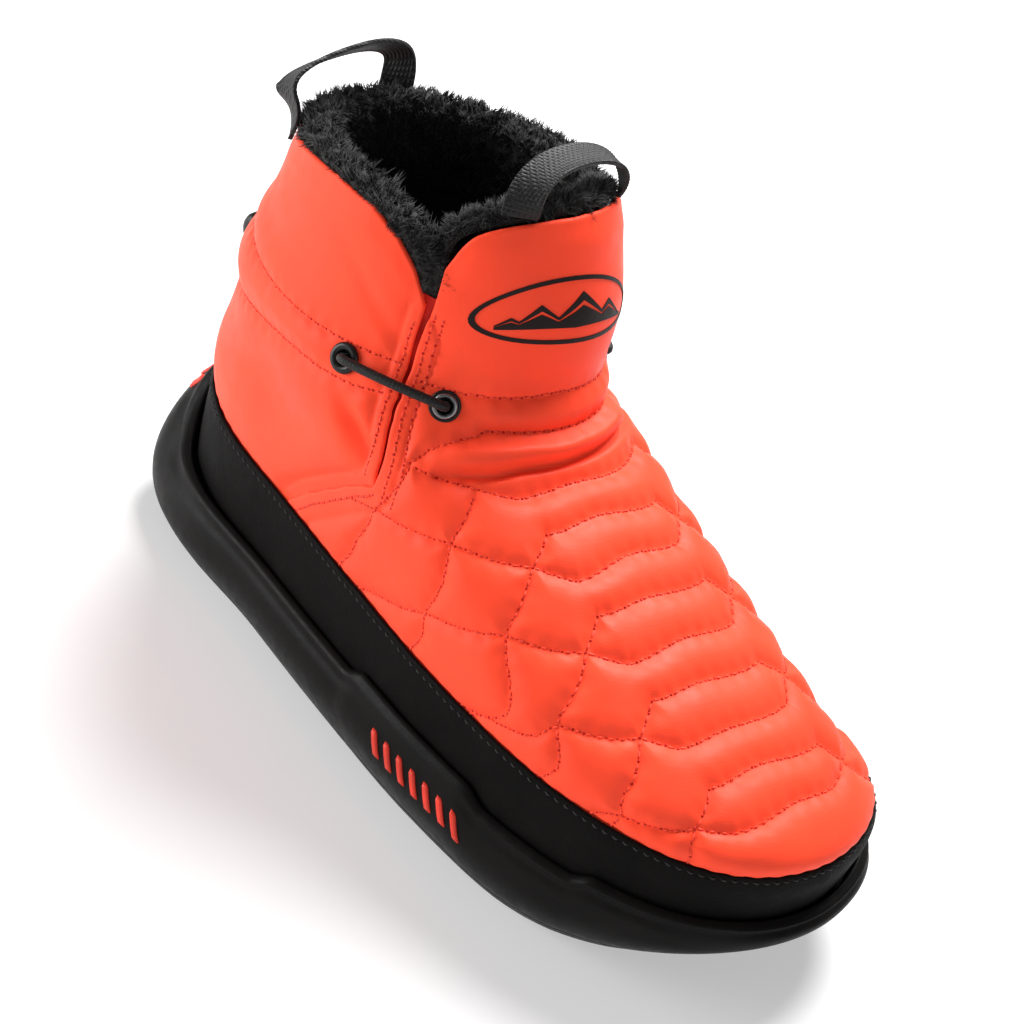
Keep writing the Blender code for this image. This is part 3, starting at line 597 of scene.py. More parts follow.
def multiply(tree, a, b):
    made = tree.nodes.new("ShaderNodeMath")
    made.operation = "MULTIPLY"
    tree.links.new(a, made.inputs[0])
    tree.links.new(b, made.inputs[1])
    return made.outputs[0]


def scaled(colour, factor):
    return tuple(min(1.0, c * factor) for c in colour)


def softshell(name, colour):
    """Matt stretch fabric with a fine tight weave and slightly uneven dye."""
    made, tree, shader, source = new_material(name, colour, 0.5, sheen=0.02, specular=0.14)
    shades(tree, noise(tree, source, 30.0, 4.0), colour, (0.30, 0.55, 0.80), (0.90, 1.0, 1.07))
    grain = noise(tree, source, 2600.0, 2.0, 0.7)
    ramp(tree, noise(tree, source, 120.0), [(0.3, 0.46), (0.7, 0.60)], "Roughness")
    weave = multiply(tree, wave(tree, source, 480.0, "X"), wave(tree, source, 480.0, "Z"))
    first = add_bump(tree, shader, weave, 0.10, 0.0002)
    second = add_bump(tree, shader, grain, 0.16, 0.0002, first)
    add_bump(tree, shader, noise(tree, source, 210.0), 0.12, 0.0008, second)
    return made


def grained(name, colour, roughness, grain_scale, strength, specular=0.3):
    """Moulded or coated material with a fine pebbled surface and rubbed lighter places."""
    made, tree, shader, source = new_material(name, colour, roughness, specular=specular)
    shades(tree, noise(tree, source, 60.0, 5.0, 0.65), colour, (0.35, 0.62, 0.9), (0.75, 1.0, 1.9))
    ramp(tree, noise(tree, source, 240.0), [(0.3, roughness - 0.06), (0.75, roughness + 0.08)], "Roughness")
    cells = node(tree, "ShaderNodeTexVoronoi", Scale=grain_scale)
    tree.links.new(source, cells.inputs["Vector"])
    first = add_bump(tree, shader, cells.outputs["Distance"], strength, 0.0003)
    add_bump(tree, shader, noise(tree, source, grain_scale * 0.4, 4.0), strength * 0.7, 0.0004, first)
    return made


def woven(name, colour, pitch_scale, strength):
    """Webbing or braid: crossed ribs and a few lighter threads."""
    made, tree, shader, source = new_material(name, colour, 0.62, sheen=0.05, specular=0.3)
    threads = noise(tree, source, 900.0, 2.0)
    shades(tree, threads, colour, (0.35, 0.6, 0.85), (0.6, 1.0, 3.0))
    ribs = multiply(tree, wave(tree, source, pitch_scale, "DIAGONAL"), wave(tree, source, pitch_scale, "Y"))
    ramp(tree, ribs, [(0.0, 0.52), (1.0, 0.72)], "Roughness")
    first = add_bump(tree, shader, ribs, strength, 0.0004)
    add_bump(tree, shader, threads, 0.25, 0.0003, first)
    return made


def hairy(name, shade_tone, highlight_tone):
    """Plush whose colour runs in noise patches from a dark tone to a lighter one: painted shade between its
    clumps and painted highlight on them.
    """
    made, tree, shader, source = new_material(name, shade_tone, 0.75, sheen=0.12, specular=0.25)
    ramp(tree, noise(tree, source, 160.0), [(0.35, shade_tone), (0.72, highlight_tone)], "Base Color")
    ramp(tree, noise(tree, source, 500.0), [(0.3, 0.62), (0.8, 0.9)], "Roughness")
    add_bump(tree, shader, noise(tree, source, 1100.0), 0.5, 0.0006)
    return made


def metal(name, colour, roughness):
    """Slightly tarnished metal."""
    made, tree, shader, source = new_material(name, colour, roughness, metallic=1.0)
    shades(tree, noise(tree, source, 500.0, 4.0), colour, (0.3, 0.7), (0.7, 1.1))
    ramp(tree, noise(tree, source, 800.0), [(0.3, roughness - 0.05), (0.7, roughness + 0.12)], "Roughness")
    add_bump(tree, shader, noise(tree, source, 1500.0, 2.0), 0.08, 0.0002)
    return made


ORANGE = (0.98, 0.068, 0.026)
ORANGE_DEEP = (0.55, 0.014, 0.007)
THREAD = (0.96, 0.060, 0.024)


def make_materials():
    return {
        "shell": softshell("softshell_orange", ORANGE),
        "gusset": softshell("gusset_stretch_red", ORANGE_DEEP),
        "thread": woven("thread_orange", THREAD, 900.0, 0.3),
        # Dark red caps at the stitches: painted shade of the dimples that the needle leaves in the fabric.
        "hole": softshell("needle_holes", (0.50, 0.010, 0.006)),
        "thread_black": woven("thread_black", (0.006, 0.006, 0.006), 900.0, 0.3),
        "rand": grained("rand_black", (0.0058, 0.0052, 0.0050), 0.62, 900.0, 0.35, 0.04),
        "sole": grained("sole_rubber", (0.0060, 0.0053, 0.0050), 0.44, 1300.0, 0.10, 0.08),
        "mark": grained("mark_orange", (0.80, 0.045, 0.024), 0.45, 1500.0, 0.1),
        "print": grained("print_black", (0.010, 0.006, 0.0055), 0.5, 1400.0, 0.12, 0.15),
        # The plush's two tones are painted shade and painted highlight on black fur and fleece.
        "fur": hairy("plush_black", (0.0025, 0.0023, 0.0023), (0.016, 0.0145, 0.0140)),
        "fleece": hairy("fleece_black", (0.0016, 0.0015, 0.0015), (0.006, 0.0055, 0.0055)),
        "webbing": woven("webbing_black", (0.0046, 0.0044, 0.0044), 260.0, 0.6),
        "cord": woven("elastic_black", (0.0052, 0.0048, 0.0048), 420.0, 0.35),
        "toggle": grained("toggle_black", (0.0052, 0.005, 0.005), 0.42, 900.0, 0.15),
        "eyelet_grey": metal("eyelet_gunmetal", (0.23, 0.24, 0.25), 0.34),
        "eyelet_black": grained("eyelet_enamel", (0.0052, 0.005, 0.005), 0.34, 1600.0, 0.05),
        "steel": metal("steel", (0.45, 0.45, 0.46), 0.3),
        "board": grained("board_cream", (0.50, 0.45, 0.36), 0.8, 500.0, 0.3),
    }


# ==== Camera, floor and lights

CAMERA_TARGET = np.array([20.4, 17.5, 69.9])
CAMERA_AZIMUTH, CAMERA_ELEVATION, CAMERA_ROLL = np.radians([-57.1, 35.7, -19.5])
CAMERA_DISTANCE = 767.4
CAMERA_LENS = 75.67
FLOOR_REACH = 12.0


def camera_axes():
    """The camera's right, up and back directions. It is rolled, so the standing boot leans in the frame."""
    a, e, r = CAMERA_AZIMUTH, CAMERA_ELEVATION, CAMERA_ROLL
    back = np.array([math.sin(a) * math.cos(e), -math.cos(a) * math.cos(e), math.sin(e)])
    level = np.array([math.cos(a), math.sin(a), 0.0])
    upright = np.cross(back, level)
    right = math.cos(r) * level - math.sin(r) * upright
    return right, math.sin(r) * level + math.cos(r) * upright, back


def add_camera():
    right, up, back = camera_axes()
    data = bpy.data.cameras.new("camera")
    data.lens, data.sensor_width = CAMERA_LENS, 36.0
    data.clip_start, data.clip_end = 0.02, 50.0
    camera = bpy.data.objects.new("camera", data)
    matrix = Matrix.Identity(4)
    for k, axis in enumerate((right, up, back)):
        for row in range(3):
            matrix[row][k] = axis[row]
    matrix.translation = Vector((CAMERA_TARGET + back * CAMERA_DISTANCE) * MM)
    camera.matrix_world = matrix
    bpy.context.scene.collection.objects.link(camera)
    bpy.context.scene.camera = camera


def area_light(name, direction, distance, size, power):
    data = bpy.data.lights.new(name, "AREA")
    data.shape, data.size, data.energy = "DISK", size, power
    light = bpy.data.objects.new(name, data)
    towards = Vector(direction).normalized()
    light.location = Vector(CAMERA_TARGET * MM) + towards * distance
    light.rotation_euler = towards.to_track_quat("Z", "Y").to_euler()
    bpy.context.scene.collection.objects.link(light)


def add_floor_and_lights():
    mesh = bpy.data.meshes.new("floor")
    corners = [(-FLOOR_REACH, -FLOOR_REACH, 0), (FLOOR_REACH, -FLOOR_REACH, 0), (FLOOR_REACH, FLOOR_REACH, 0),
               (-FLOOR_REACH, FLOOR_REACH, 0)]
    mesh.from_pydata(corners, [], [(0, 1, 2, 3)])
    finish, _, shader, _ = new_material("floor_white", (0.50, 0.50, 0.50), 0.9, specular=0.1)
    shader.inputs["Emission Color"].default_value = (1.0, 1.0, 1.0, 1.0)
    shader.inputs["Emission Strength"].default_value = 0.40
    mesh.materials.append(finish)
    floor = bpy.data.objects.new("floor", mesh)
    bpy.context.scene.collection.objects.link(floor)
    area_light("overhead", (0.46, 0.20, 0.80), 1.7, 0.9, 66.0)
    area_light("side", (-0.72, 0.76, 0.22), 1.3, 0.9, 18.0)
    area_light("front", (-0.45, -1.0, 0.40), 2.2, 1.6, 11.0)
    world = bpy.data.worlds.new("studio")
    world.use_nodes = True
    sky = world.node_tree.nodes["Background"].inputs
    sky["Color"].default_value = (1.0, 1.0, 1.0, 1.0)
    sky["Strength"].default_value = 0.20
    bpy.context.scene.world = world
    bpy.context.scene.view_settings.view_transform = "Standard"


# ==== The upper

def front_side_u(level):
    """u of the front's outer border: the seam below, the gusset, then the collar's own side."""
    u = border_u(level) - slot_half_u(level)
    at = [6.5, 7.1, 7.5, 7.8, 8.0, 8.2, 8.4, 8.55]
    sides = [0.1640, 0.1600, 0.156, 0.15, 0.14, 0.12, 0.09, 0.05]
    collar = sum(np.interp(level + shift, at, sides) for shift in np.linspace(-0.15, 0.15, 7)) / 7
    return u + (collar - u) * smooth_step(6.5, 6.9, level)


def slot_half_u(level):
    """Half the slot between the quarter and the front, in u. It closes at the seam, where the front laps."""
    return np.interp(level, [3.3, 3.52, 3.9, 5.2, 6.68], [-0.002, 0.0012, 0.0026, 0.0036, 0.0045])


def hem(u):
    """Level of the upper's lower edge, behind the rand."""
    return 0.95 + 0 * u


def puffed_shell(name, u, level, rise):
    """A fabric shell over the skin at a height given by rise, with curled edges."""
    normals = skin_normal(u, level)
    points = skin(u, level) + normals * rise[..., None]
    return add_grid(name, with_rolled_edges(points, normals), MATERIALS["shell"])


def make_front():
    edge = line_level(COLLAR_TOP[:4] + [(0.14, 7.95), (0.161, 7.3), (0.34, 7.3)])

    def top(at):
        return sum(edge(np.abs(at) + shift) for shift in np.linspace(-0.012, 0.012, 9)) / 9

    def side(at):
        return np.minimum(front_side_u(np.minimum(at, 7.5)), SEAM[-1][0])

    u, level = grid_between(lambda at: -side(at), side, hem, top, 370, 250)
    rise = blur(front_rise(u, level), 2)
    below_top = smooth_step(-1, 9, (top(u) - level) * 22)
    made = puffed_shell("front_upper", u, level, rise * below_top + 0.2 * (1 - below_top))
    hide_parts("vamp", "front_collar", "padding_vamp", "padding_front")
    return made


def make_quarter():
    top = line_level(QUARTER_TOP)

    def left(level):
        under_front = -0.010 * smooth_step(3.53, 3.3, level)
        return border_u(level) + np.where(level > SEAM[0][1], slot_half_u(level), under_front)

    u, level = grid_between(left, lambda at: 1 - left(at), hem, top, 400, 190)
    rise = blur(quarter_rise(u, level), 2)
    below_top = smooth_step(-1, 8, (top(u) - level) * 20)
    rise = rise * below_top + 0.2 * (1 - below_top)
    past_seam = (border_u(level) + 0.004 - mirrored(u)) * 420
    under_seam = smooth_step(3.75, 3.40, level) * smooth_step(-6.5, 0.5, past_seam)
    made = puffed_shell("rear_upper", u, level, rise * (1 - under_seam) - 0.9 * under_seam)
    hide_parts("rear_quarter", "padding_rear")
    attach(made, "boot")
    return made


def make_gusset(name, inner_side):
    """Dark stretch panel that folds inwards between the quarter and the front."""
    levels = np.linspace(GUSSET[-1][1] - 0.12, GUSSET[0][1] + 0.30, 70)[:, None]
    share = np.linspace(-1, 1, 33)[None, :]
    under_quarter = 0.009 + 0.032 * smooth_step(4.0, 6.8, levels)
    u = border_u(levels) + np.where(share < 0, 0.010 * share, under_quarter * share)
    depth = 2.2 + 0.3 * np.sin(levels * 9 + 2 * share)
    u = 1 - u if inner_side else u
    points = layer(u, levels + 0 * u, depth)
    if inner_side:
        points = points[:, ::-1]
    made = add_grid(name, points, MATERIALS["gusset"])
    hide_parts(name.replace("panel", "gusset"))
    return made


# ==== Stitching

def stitch_row(threads, holes, tree, line, wide=0.38, high=0.26):
    """Threads along a dense line of places, lying on a made surface, with a dark red cap where each stitch
    starts: painted shade of the needle's dimple.
    """
    lengths = lengths_along(skin(line[:, 0], line[:, 1]))
    count = max(1, int(lengths[-1] / STITCH_PITCH))
    pitch = lengths[-1] / count
    starts = np.arange(count) * pitch
    within = np.array([0.0, 0.62, 1.2, pitch / 2, pitch - 1.2 + 0.6, pitch])
    u, level = columns_at((starts[:, None] + within[None, :]).ravel(), lengths, line).T
    places, facing = drop(tree, u, level)
    places, facing = places.reshape(count, 6, 3), facing.reshape(count, 6, 3)
    circle_points = circle(1.0, 5)
    sizes = np.array([0.35, 1.0, 1.0, 0.35])
    lifts = np.array([-0.15, 0.22, 0.22, -0.15])
    for place, normal in zip(places, facing):
        path = place[1:5] + normal[1:5] * lifts[:, None]
        tangent = unit(path[-1] - path[0])
        side = unit(np.cross(tangent, normal[2]))
        up = np.cross(side, tangent)
        ring = circle_points[:, :1] * side * wide + circle_points[:, 1:] * up * high
        threads.add(path[:, None] + ring[None] * sizes[:, None, None], STITCH_FACES)
        if holes is not None:
            # A small dark red cap at the stitch's start: painted shade of the needle's dimple.
            rim = place[0] + circle(0.60, 6) @ np.array([side, tangent * 0.85])
            top = [rim + normal[0] * 0.06, place[:1] + normal[0] * 0.10]
            holes.add(np.vstack([rim - normal[0] * 0.3] + top), DIMPLE_SHADE_FACES)


STITCH_FACES = tube_faces(4, 5)
DIMPLE_SHADE_FACES = [[k, (k + 1) % 6, 6 + (k + 1) % 6, 6 + k] for k in range(6)] + [
    [6 + k, 6 + (k + 1) % 6, 12] for k in range(6)] + [[5, 4, 3, 2, 1, 0]]


def stitch_all(name, surface, lines):
    """The threads of all the lines on one surface, and the dark red caps at their stitches as painted shade,
    as two pieces.
    """
    tree = surface_tree(surface)
    threads, holes = Pile(), Pile()
    for line in lines:
        stitch_row(threads, holes, tree, line)
    stitches = threads.finish(name + "_stitches", MATERIALS["thread"])
    return stitches, holes.finish(name + "_needle_holes", MATERIALS["hole"])


def make_stitching(front, quarter):
    front_lines = quilt_lines() + collar_lines()
    rear_lines = quarter_lines()
    for inner_side in (False, True):
        front_lines += [band_line(-(0.003 + offset), (3.55, 6.85), inner_side) for offset in BAND_ROWS]
        front_lines.append(band_line(-0.0035, (1.22, 3.50), inner_side))
        rear_lines.append(band_line(0.003 + BAND_ROWS[0], (3.60, 6.6), inner_side))
    for made in stitch_all("front", front, front_lines):
        blend_collar(made)
    for made in stitch_all("rear", quarter, rear_lines):
        declare(made, "softshell", "boot")


def blend_collar(obj):
    """Bakes a piece's world transform into its mesh."""
    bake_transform(obj)


# ==== Sole and rand

def sole_bottom_z(y):
    """The sole's underside: level in the middle, sprung up at the toe and a little at the heel."""
    return 26 * np.clip((-y - 70) / 84, 0, None) ** 2 + 3 * np.clip((y - 112) / 40, 0, None) ** 2


def side_panel(u):
    """1 along the raised panel on each side of the sole, 0 elsewhere."""
    y = skin(u, 0)[..., 1]
    return smooth_step(10, 2, y) * (1 - smooth_step(-52, -62, y))


def lip_z(u):
    """Height of the sole's upper lip: higher at the panel and the toe, and highest round the heel."""
    y = skin(u, 0)[..., 1]
    return 34 + 4 * side_panel(u) + 4 * smooth_step(-96, -104, y) + 24 * smooth_step(0.42, 0.49, mirrored(u))


def plan_normal(u):
    step = 0.002
    tangent = skin(np.asarray(u) + step, 0) - skin(np.asarray(u) - step, 0)
    return unit(np.stack([-tangent[..., 1], tangent[..., 0], 0 * tangent[..., 0]], -1))


def level_at(u, z):
    return np.clip((z - 30) / (skin(u, 1)[..., 2] - 30), 0, 1)


def offset_ring(u, z, offset):
    """A ring round the foot at a height, pushed out from the skin. Both may be numbers or one for each u."""
    z = np.zeros_like(u) + z
    points = skin(u, level_at(u, z)) + plan_normal(u) * (np.zeros_like(u) + offset)[..., None]
    points[..., 2] = z
    return points


def sole_flare(u, h):
    """How far the sole's wall stands out, at a share h of its height."""
    heel = smooth_step(0.34, 0.47, mirrored(u))
    toe = smooth_step(0.16, 0.02, mirrored(u))
    bottom = -2 + 10 * heel - 6 * toe
    middle = 9 + 12 * heel + 3 * toe
    plain = bottom * (1 - h) ** 2 + 2.8 * middle * h * (1 - h) + 4.2 * h * h
    bead = 0.8 * bump(h, 0.955, 0.035) * (1 - 0.75 * side_panel(u))
    groove = 0.55 * bump(h, 0.87, 0.05) * (1 - 0.8 * side_panel(u))
    return plain + bead - groove + 0.7 * side_panel(u) * smooth_step(0.2, 0.5, h) * smooth_step(1.0, 0.9, h)


def wall_ring(u, height, extra=0.0):
    """A ring of the sole's wall, at a height in mm or, up to 1, at a share of the wall's height."""
    bottom = sole_bottom_z(offset_ring(u, 0, 0)[..., 1])
    top = lip_z(u)
    h = height / (top - bottom) if height > 1 else np.full_like(u, height)
    return offset_ring(u, bottom + (top - bottom) * h, sole_flare(u, h) + extra)


SOLE_COLUMNS = 360
OUTSOLE_HEIGHT = 5.0
SOLE_U = np.arange(SOLE_COLUMNS) / SOLE_COLUMNS


def cap_faces(first):
    """Faces that close a ring of the sole from side to side. first is the ring's first point."""
    half = SOLE_COLUMNS // 2
    faces = []
    for j in range(first + 1, first + half - 1):
        across = 2 * first + SOLE_COLUMNS - j
        faces.append([j, j + 1, across - 1, across])
    faces.append([first, first + 1, first + SOLE_COLUMNS - 1])
    faces.append([first + half, first + half - 1, first + half + 1])
    return faces


TREAD_EDGE = 1.6


def tread_depth(x, y):
    """Grooves between the lugs, as a height above the lugs' faces."""
    waves = np.cos(2 * math.pi * (y + 5 * np.sin(x / 7.0)) / 15.0)
    rows = smooth_step(0.72, 0.86, waves)
    splits = smooth_step(0.90, 0.97, np.cos(2 * math.pi * (x + 3 * np.sin(y / 9.0)) / 27.0))
    return 2.2 * np.maximum(rows, splits)


def make_outsole():
    u = SOLE_U
    edge = wall_ring(u, TREAD_EDGE)
    rings = []
    for lift, inset in ((0.0, 2.6), (0.15, 1.5), (0.55, 0.75), (1.1, 0.25)):
        ring = wall_ring(u, TREAD_EDGE, -inset)
        ring[..., 2] = edge[..., 2] - TREAD_EDGE + lift
        rings.append(ring)
    rim = rings[0]
    rings += [wall_ring(u, h) for h in (TREAD_EDGE, 2.2, 3.2, 4.2, OUTSOLE_HEIGHT)]
    rings.append(offset_ring(u, rings[-1][..., 2], sole_flare(u, 0.2) - 4))
    rings = np.array(rings)
    rows, half = rings.shape[0], SOLE_COLUMNS // 2
    faces = grid_faces(rows, SOLE_COLUMNS, True).tolist()
    count = rows * SOLE_COLUMNS
    across = 46
    inside = []
    for j in range(1, half):
        a, b = rim[j], rim[SOLE_COLUMNS - j]
        t = np.linspace(0, 1, across + 1)[1:-1, None]
        row = a + (b - a) * t
        edge_fade = smooth_step(2.0, 4.5, np.minimum(t[:, 0], 1 - t[:, 0]) * np.linalg.norm(b - a))
        end_fade = smooth_step(2, 7, min(j, half - j) * 1.0)
        row[:, 2] = sole_bottom_z(row[:, 1]) + tread_depth(row[:, 0], row[:, 1]) * edge_fade * end_fade
        inside.append(row)
    points = np.vstack([rings.reshape(-1, 3), np.array(inside).reshape(-1, 3)])

    def at(j, k):
        """Number of the point in row j across the sole, k steps from the rim's near side."""
        if k == 0:
            return j
        if k == across:
            return (SOLE_COLUMNS - j) % SOLE_COLUMNS
        return count + (j - 1) * (across - 1) + k - 1

    for j in range(1, half - 1):
        for k in range(across):
            faces.append([at(j, k), at(j, k + 1), at(j + 1, k + 1), at(j + 1, k)])
    faces.append([0] + [at(1, k) for k in range(across, -1, -1)])
    faces.append([half] + [at(half - 1, k) for k in range(across + 1)])
    faces += cap_faces(count - SOLE_COLUMNS)
    made = add_piece("tread", points, faces, MATERIALS["sole"], True, 50)
    declare(made, "sole", "boot", "outsole")


SEAT_Z = 29.7


def make_midsole():
    """The cup: its wall, a lip with a finger-wide swelling near the heel, and the seat inside."""
    u = SOLE_U
    slit = bump(mirrored(u), 0.405, 0.045)
    rings = [wall_ring(u, OUTSOLE_HEIGHT + 0.35, -0.5), wall_ring(u, OUTSOLE_HEIGHT + 0.7)]
    rings += [wall_ring(u, h) for h in np.linspace(0.24, 0.84, 18)]
    for h in (0.87, 0.89, 0.91, 0.93, 0.95, 0.965, 0.98, 0.99):
        rings.append(wall_ring(u, h, 1.6 * slit * smooth_step(0.8, 1.0, h)))
    for below, offset in ((0.0, 3.9), (-0.25, 3.4), (-0.25, 2.9), (0.0, 2.5), (0.6, 2.25), (2.0, 2.1)):
        rings.append(offset_ring(u, lip_z(u) - below, offset + 1.6 * slit * smooth_step(4, 0, below)))
    rings.append(offset_ring(u, 0.5 * lip_z(u) + 0.5 * SEAT_Z, 2.0))
    rings.append(offset_ring(u, SEAT_Z, 2.0))
    faces = grid_faces(len(rings), SOLE_COLUMNS, True).tolist()
    faces += cap_faces(0) + cap_faces((len(rings) - 1) * SOLE_COLUMNS)
    made = add_piece("cup_midsole", np.vstack(rings), faces, MATERIALS["sole"], True, 50)
    declare(made, "sole", "boot", "midsole")


def make_bars(name, node_name, start, count, pitch, bar_width, heights, slant):
    """Leaning bars standing on the sole's wall, each a small cushion with rounded edges."""
    pile = Pile()
    for k in range(count):
        first = start + pitch * (k + 0.5)
        rows = []
        for share in np.linspace(0, 1, 8):
            s = np.linspace(0, 1, 6)
            u = first + bar_width * s + slant * share
            wall = wall_ring(u, float(heights[0] + (heights[1] - heights[0]) * share))
            edge = min(share, 1 - share) * 7
            rise = 0.9 * np.minimum(1, np.minimum(np.minimum(s, 1 - s) * 5, edge) + 0.25)
            rise[[0, -1]] = -0.4
            if share in (0.0, 1.0):
                rise[:] = -0.4
            rows.append(wall + plan_normal(u) * rise[:, None])
        rim = list(range(5, -1, -1)) + [6 * r for r in range(1, 8)] + [43, 44, 45, 46, 47]
        rim += [6 * r + 5 for r in range(6, 0, -1)]
        pile.add(np.array(rows), grid_faces(8, 6).tolist() + [rim])
    made = pile.finish(name, MATERIALS["mark"])
    declare(made, "mark", "boot", node_name)


RAND_SEAM_BELOW = 0.065


def rand_top(u):
    """Level of the rand's upper edge."""
    return 1.12 + 0.03 * smooth_step(0.40, 0.49, mirrored(u))


def make_rand():
    u = np.arange(420) / 420
    t = np.linspace(0, 1, 46)[:, None]
    level = 0.02 + (rand_top(u) - 0.02) * t
    u = np.broadcast_to(u, level.shape)
    points = skin(u, level)
    normals = skin_normal(u, level)
    rise = 1.55 + 0.18 * ripples(points, 8) - 0.35 * smooth_step(0.955, 1.0, t)
    rise = rise - 0.25 * bump(level, rand_top(u) - RAND_SEAM_BELOW, 0.02)
    rise = rise + 0.5 * bump(t, 0.72, 0.16) * smooth_step(0.3, 0.1, mirrored(u))
    points = points + normals * rise[..., None]
    top = roll_edge(points, normals[-1], 0.7, 4, (30, 60, 90, 120, 150, 180))
    made = add_grid("rand_strip", np.concatenate([points, top]), MATERIALS["rand"], True)
    declare(made, "rand", "boot", "rand")
    threads = Pile()
    around = np.linspace(0, 1, 700)
    line = np.stack([around, rand_top(around) - RAND_SEAM_BELOW], -1)
    stitch_row(threads, None, surface_tree(made), line, 0.42, 0.3)
    stitches = threads.finish("rand_stitches", MATERIALS["thread_black"])
    declare(stitches, "rand", "boot")


# ==== Fur and fleece

def add_hairs(name, roots, normals, lengths, droops, thickness, finish):
    """Bent, tapering hairs, each three-sided with two rings and a tip."""
    count = len(roots)
    side = unit(np.cross(normals, RANDOM.normal(0, 1, (count, 3))))
    other = np.cross(normals, side)
    steps = np.array([0.0, 0.5, 1.0])
    widths = np.array([1.0, 0.8])
    centres = roots[:, None] + normals[:, None] * (lengths[:, None, None] * steps[None, :, None])
    centres = centres + droops[:, None] * (steps**1.7)[None, :, None]
    angles = angles_round(3)[None, :, None]
    ring = np.cos(angles) * side[:, None] + np.sin(angles) * other[:, None]
    rings = centres[:, :2, None] + ring[:, None] * (thickness * widths)[None, :, None, None]
    points = np.concatenate([rings.reshape(count, 6, 3), centres[:, 2:]], 1)
    quads = grid_faces(2, 3, True)
    tips = np.array([[3, 6, 4], [4, 6, 5], [5, 6, 3]])
    offsets = (np.arange(count) * 7)[:, None, None]
    faces = (quads[None] + offsets).reshape(-1, 4).tolist() + (tips[None] + offsets).reshape(-1, 3).tolist()
    return add_piece(name, points.reshape(-1, 3), faces, finish)


# Roughly what one unit of u and one of level measure on the skin.
U_MM, LEVEL_MM = 400.0, 21.0


def trim_sections(path, heights, depths):
    """Cross-sections of a trim along an edge of the skin: heights past the edge, depths under the skin."""
    across = np.gradient(path, axis=0) * (U_MM, LEVEL_MM)
    outward = unit(np.stack([across[:, 1], -across[:, 0]], -1)) / (U_MM, LEVEL_MM)
    rows = []
    for height, depth in zip(heights, depths):
        place = path + outward * (height + 0 * path[:, 0])[:, None]
        rows.append(layer(place[:, 0], place[:, 1], depth + 0 * path[:, 0]))
    return np.array(rows)


def make_trim(name, node_name, path, heights, depths, shag, hairs, body):
    """A fur trim: a dark lumpy roll with bent hairs in clumps all over it; shag scales the hairs along it."""
    sections = trim_sections(path, heights, depths)
    rows = 48
    roll = spline(sections, np.linspace(0, len(sections) - 1, rows))
    around, up = np.gradient(roll, axis=1), np.gradient(roll, axis=0)
    normals = unit(np.cross(up, around))
    if (normals[0] * skin_normal(path[:, 0], path[:, 1])).sum(-1).mean() < 0:
        normals = -normals
    free = smooth_step(0.5, 9, np.arange(rows))[:, None]
    lumps = (0.9 * ripples(roll, 2.6) + 0.6 * ripples(roll, 5.3)) * free
    base = roll + normals * (lumps - 0.9)[..., None]
    pad = add_grid(name, base, MATERIALS["fur"])
    declare(pad, "plush", body, node_name)
    cells = np.linalg.norm(np.cross(base[1:, :-1] - base[:-1, :-1], base[:-1, 1:] - base[:-1, :-1]), axis=-1)
    chosen = RANDOM.choice(cells.size, hairs, p=cells.ravel() / cells.sum())
    i = chosen // cells.shape[1] + RANDOM.uniform(0, 0.999, hairs)
    j = chosen % cells.shape[1] + RANDOM.uniform(0, 0.999, hairs)
    roots, outs = bilinear(base, i, j), unit(bilinear(normals, i, j))
    clumps = RANDOM.integers(0, hairs, hairs // 16)
    tree = kdtree.KDTree(len(clumps))
    for k, c in enumerate(clumps):
        tree.insert(roots[c], k)
    tree.balance()
    owner = np.array([tree.find(p)[1] for p in roots])
    lean = RANDOM.normal(0, 1.5, (len(clumps), 3))
    lean -= (lean * outs[clumps]).sum(-1, keepdims=True) * outs[clumps]
    centres = roots[clumps][owner]
    loose = shag[j.astype(int)]
    lengths = RANDOM.uniform(2.2, 3.8, hairs) * (0.35 + 0.65 * smooth_step(0.5, 5, i)) * loose
    curl = RANDOM.normal(0, 0.7, (hairs, 3))
    bent = (0.4 + 0.6 * smooth_step(0.5, 7, i)) * loose**1.5
    droops = ((centres - roots) * 0.7 + lean[owner] + curl) * bent[:, None]
    outward = skin_normal(path[:, 0], path[:, 1])[j.astype(int)]
    droops -= outward * (5.0 * (1 - loose))[:, None]
    fur = add_hairs(name + "_hairs", roots - outs * 0.3, outs, lengths, droops, 0.24, MATERIALS["fur"])
    declare(fur, "plush", body)


def bilinear(grid, i, j):
    a, b = np.floor(i).astype(int), np.floor(j).astype(int)
    f, g = (i - a)[:, None], (j - b)[:, None]
    return ((1 - f) * (1 - g) * grid[a, b] + f * (1 - g) * grid[a + 1, b]
            + (1 - f) * g * grid[a, b + 1] + f * g * grid[a + 1, b + 1])


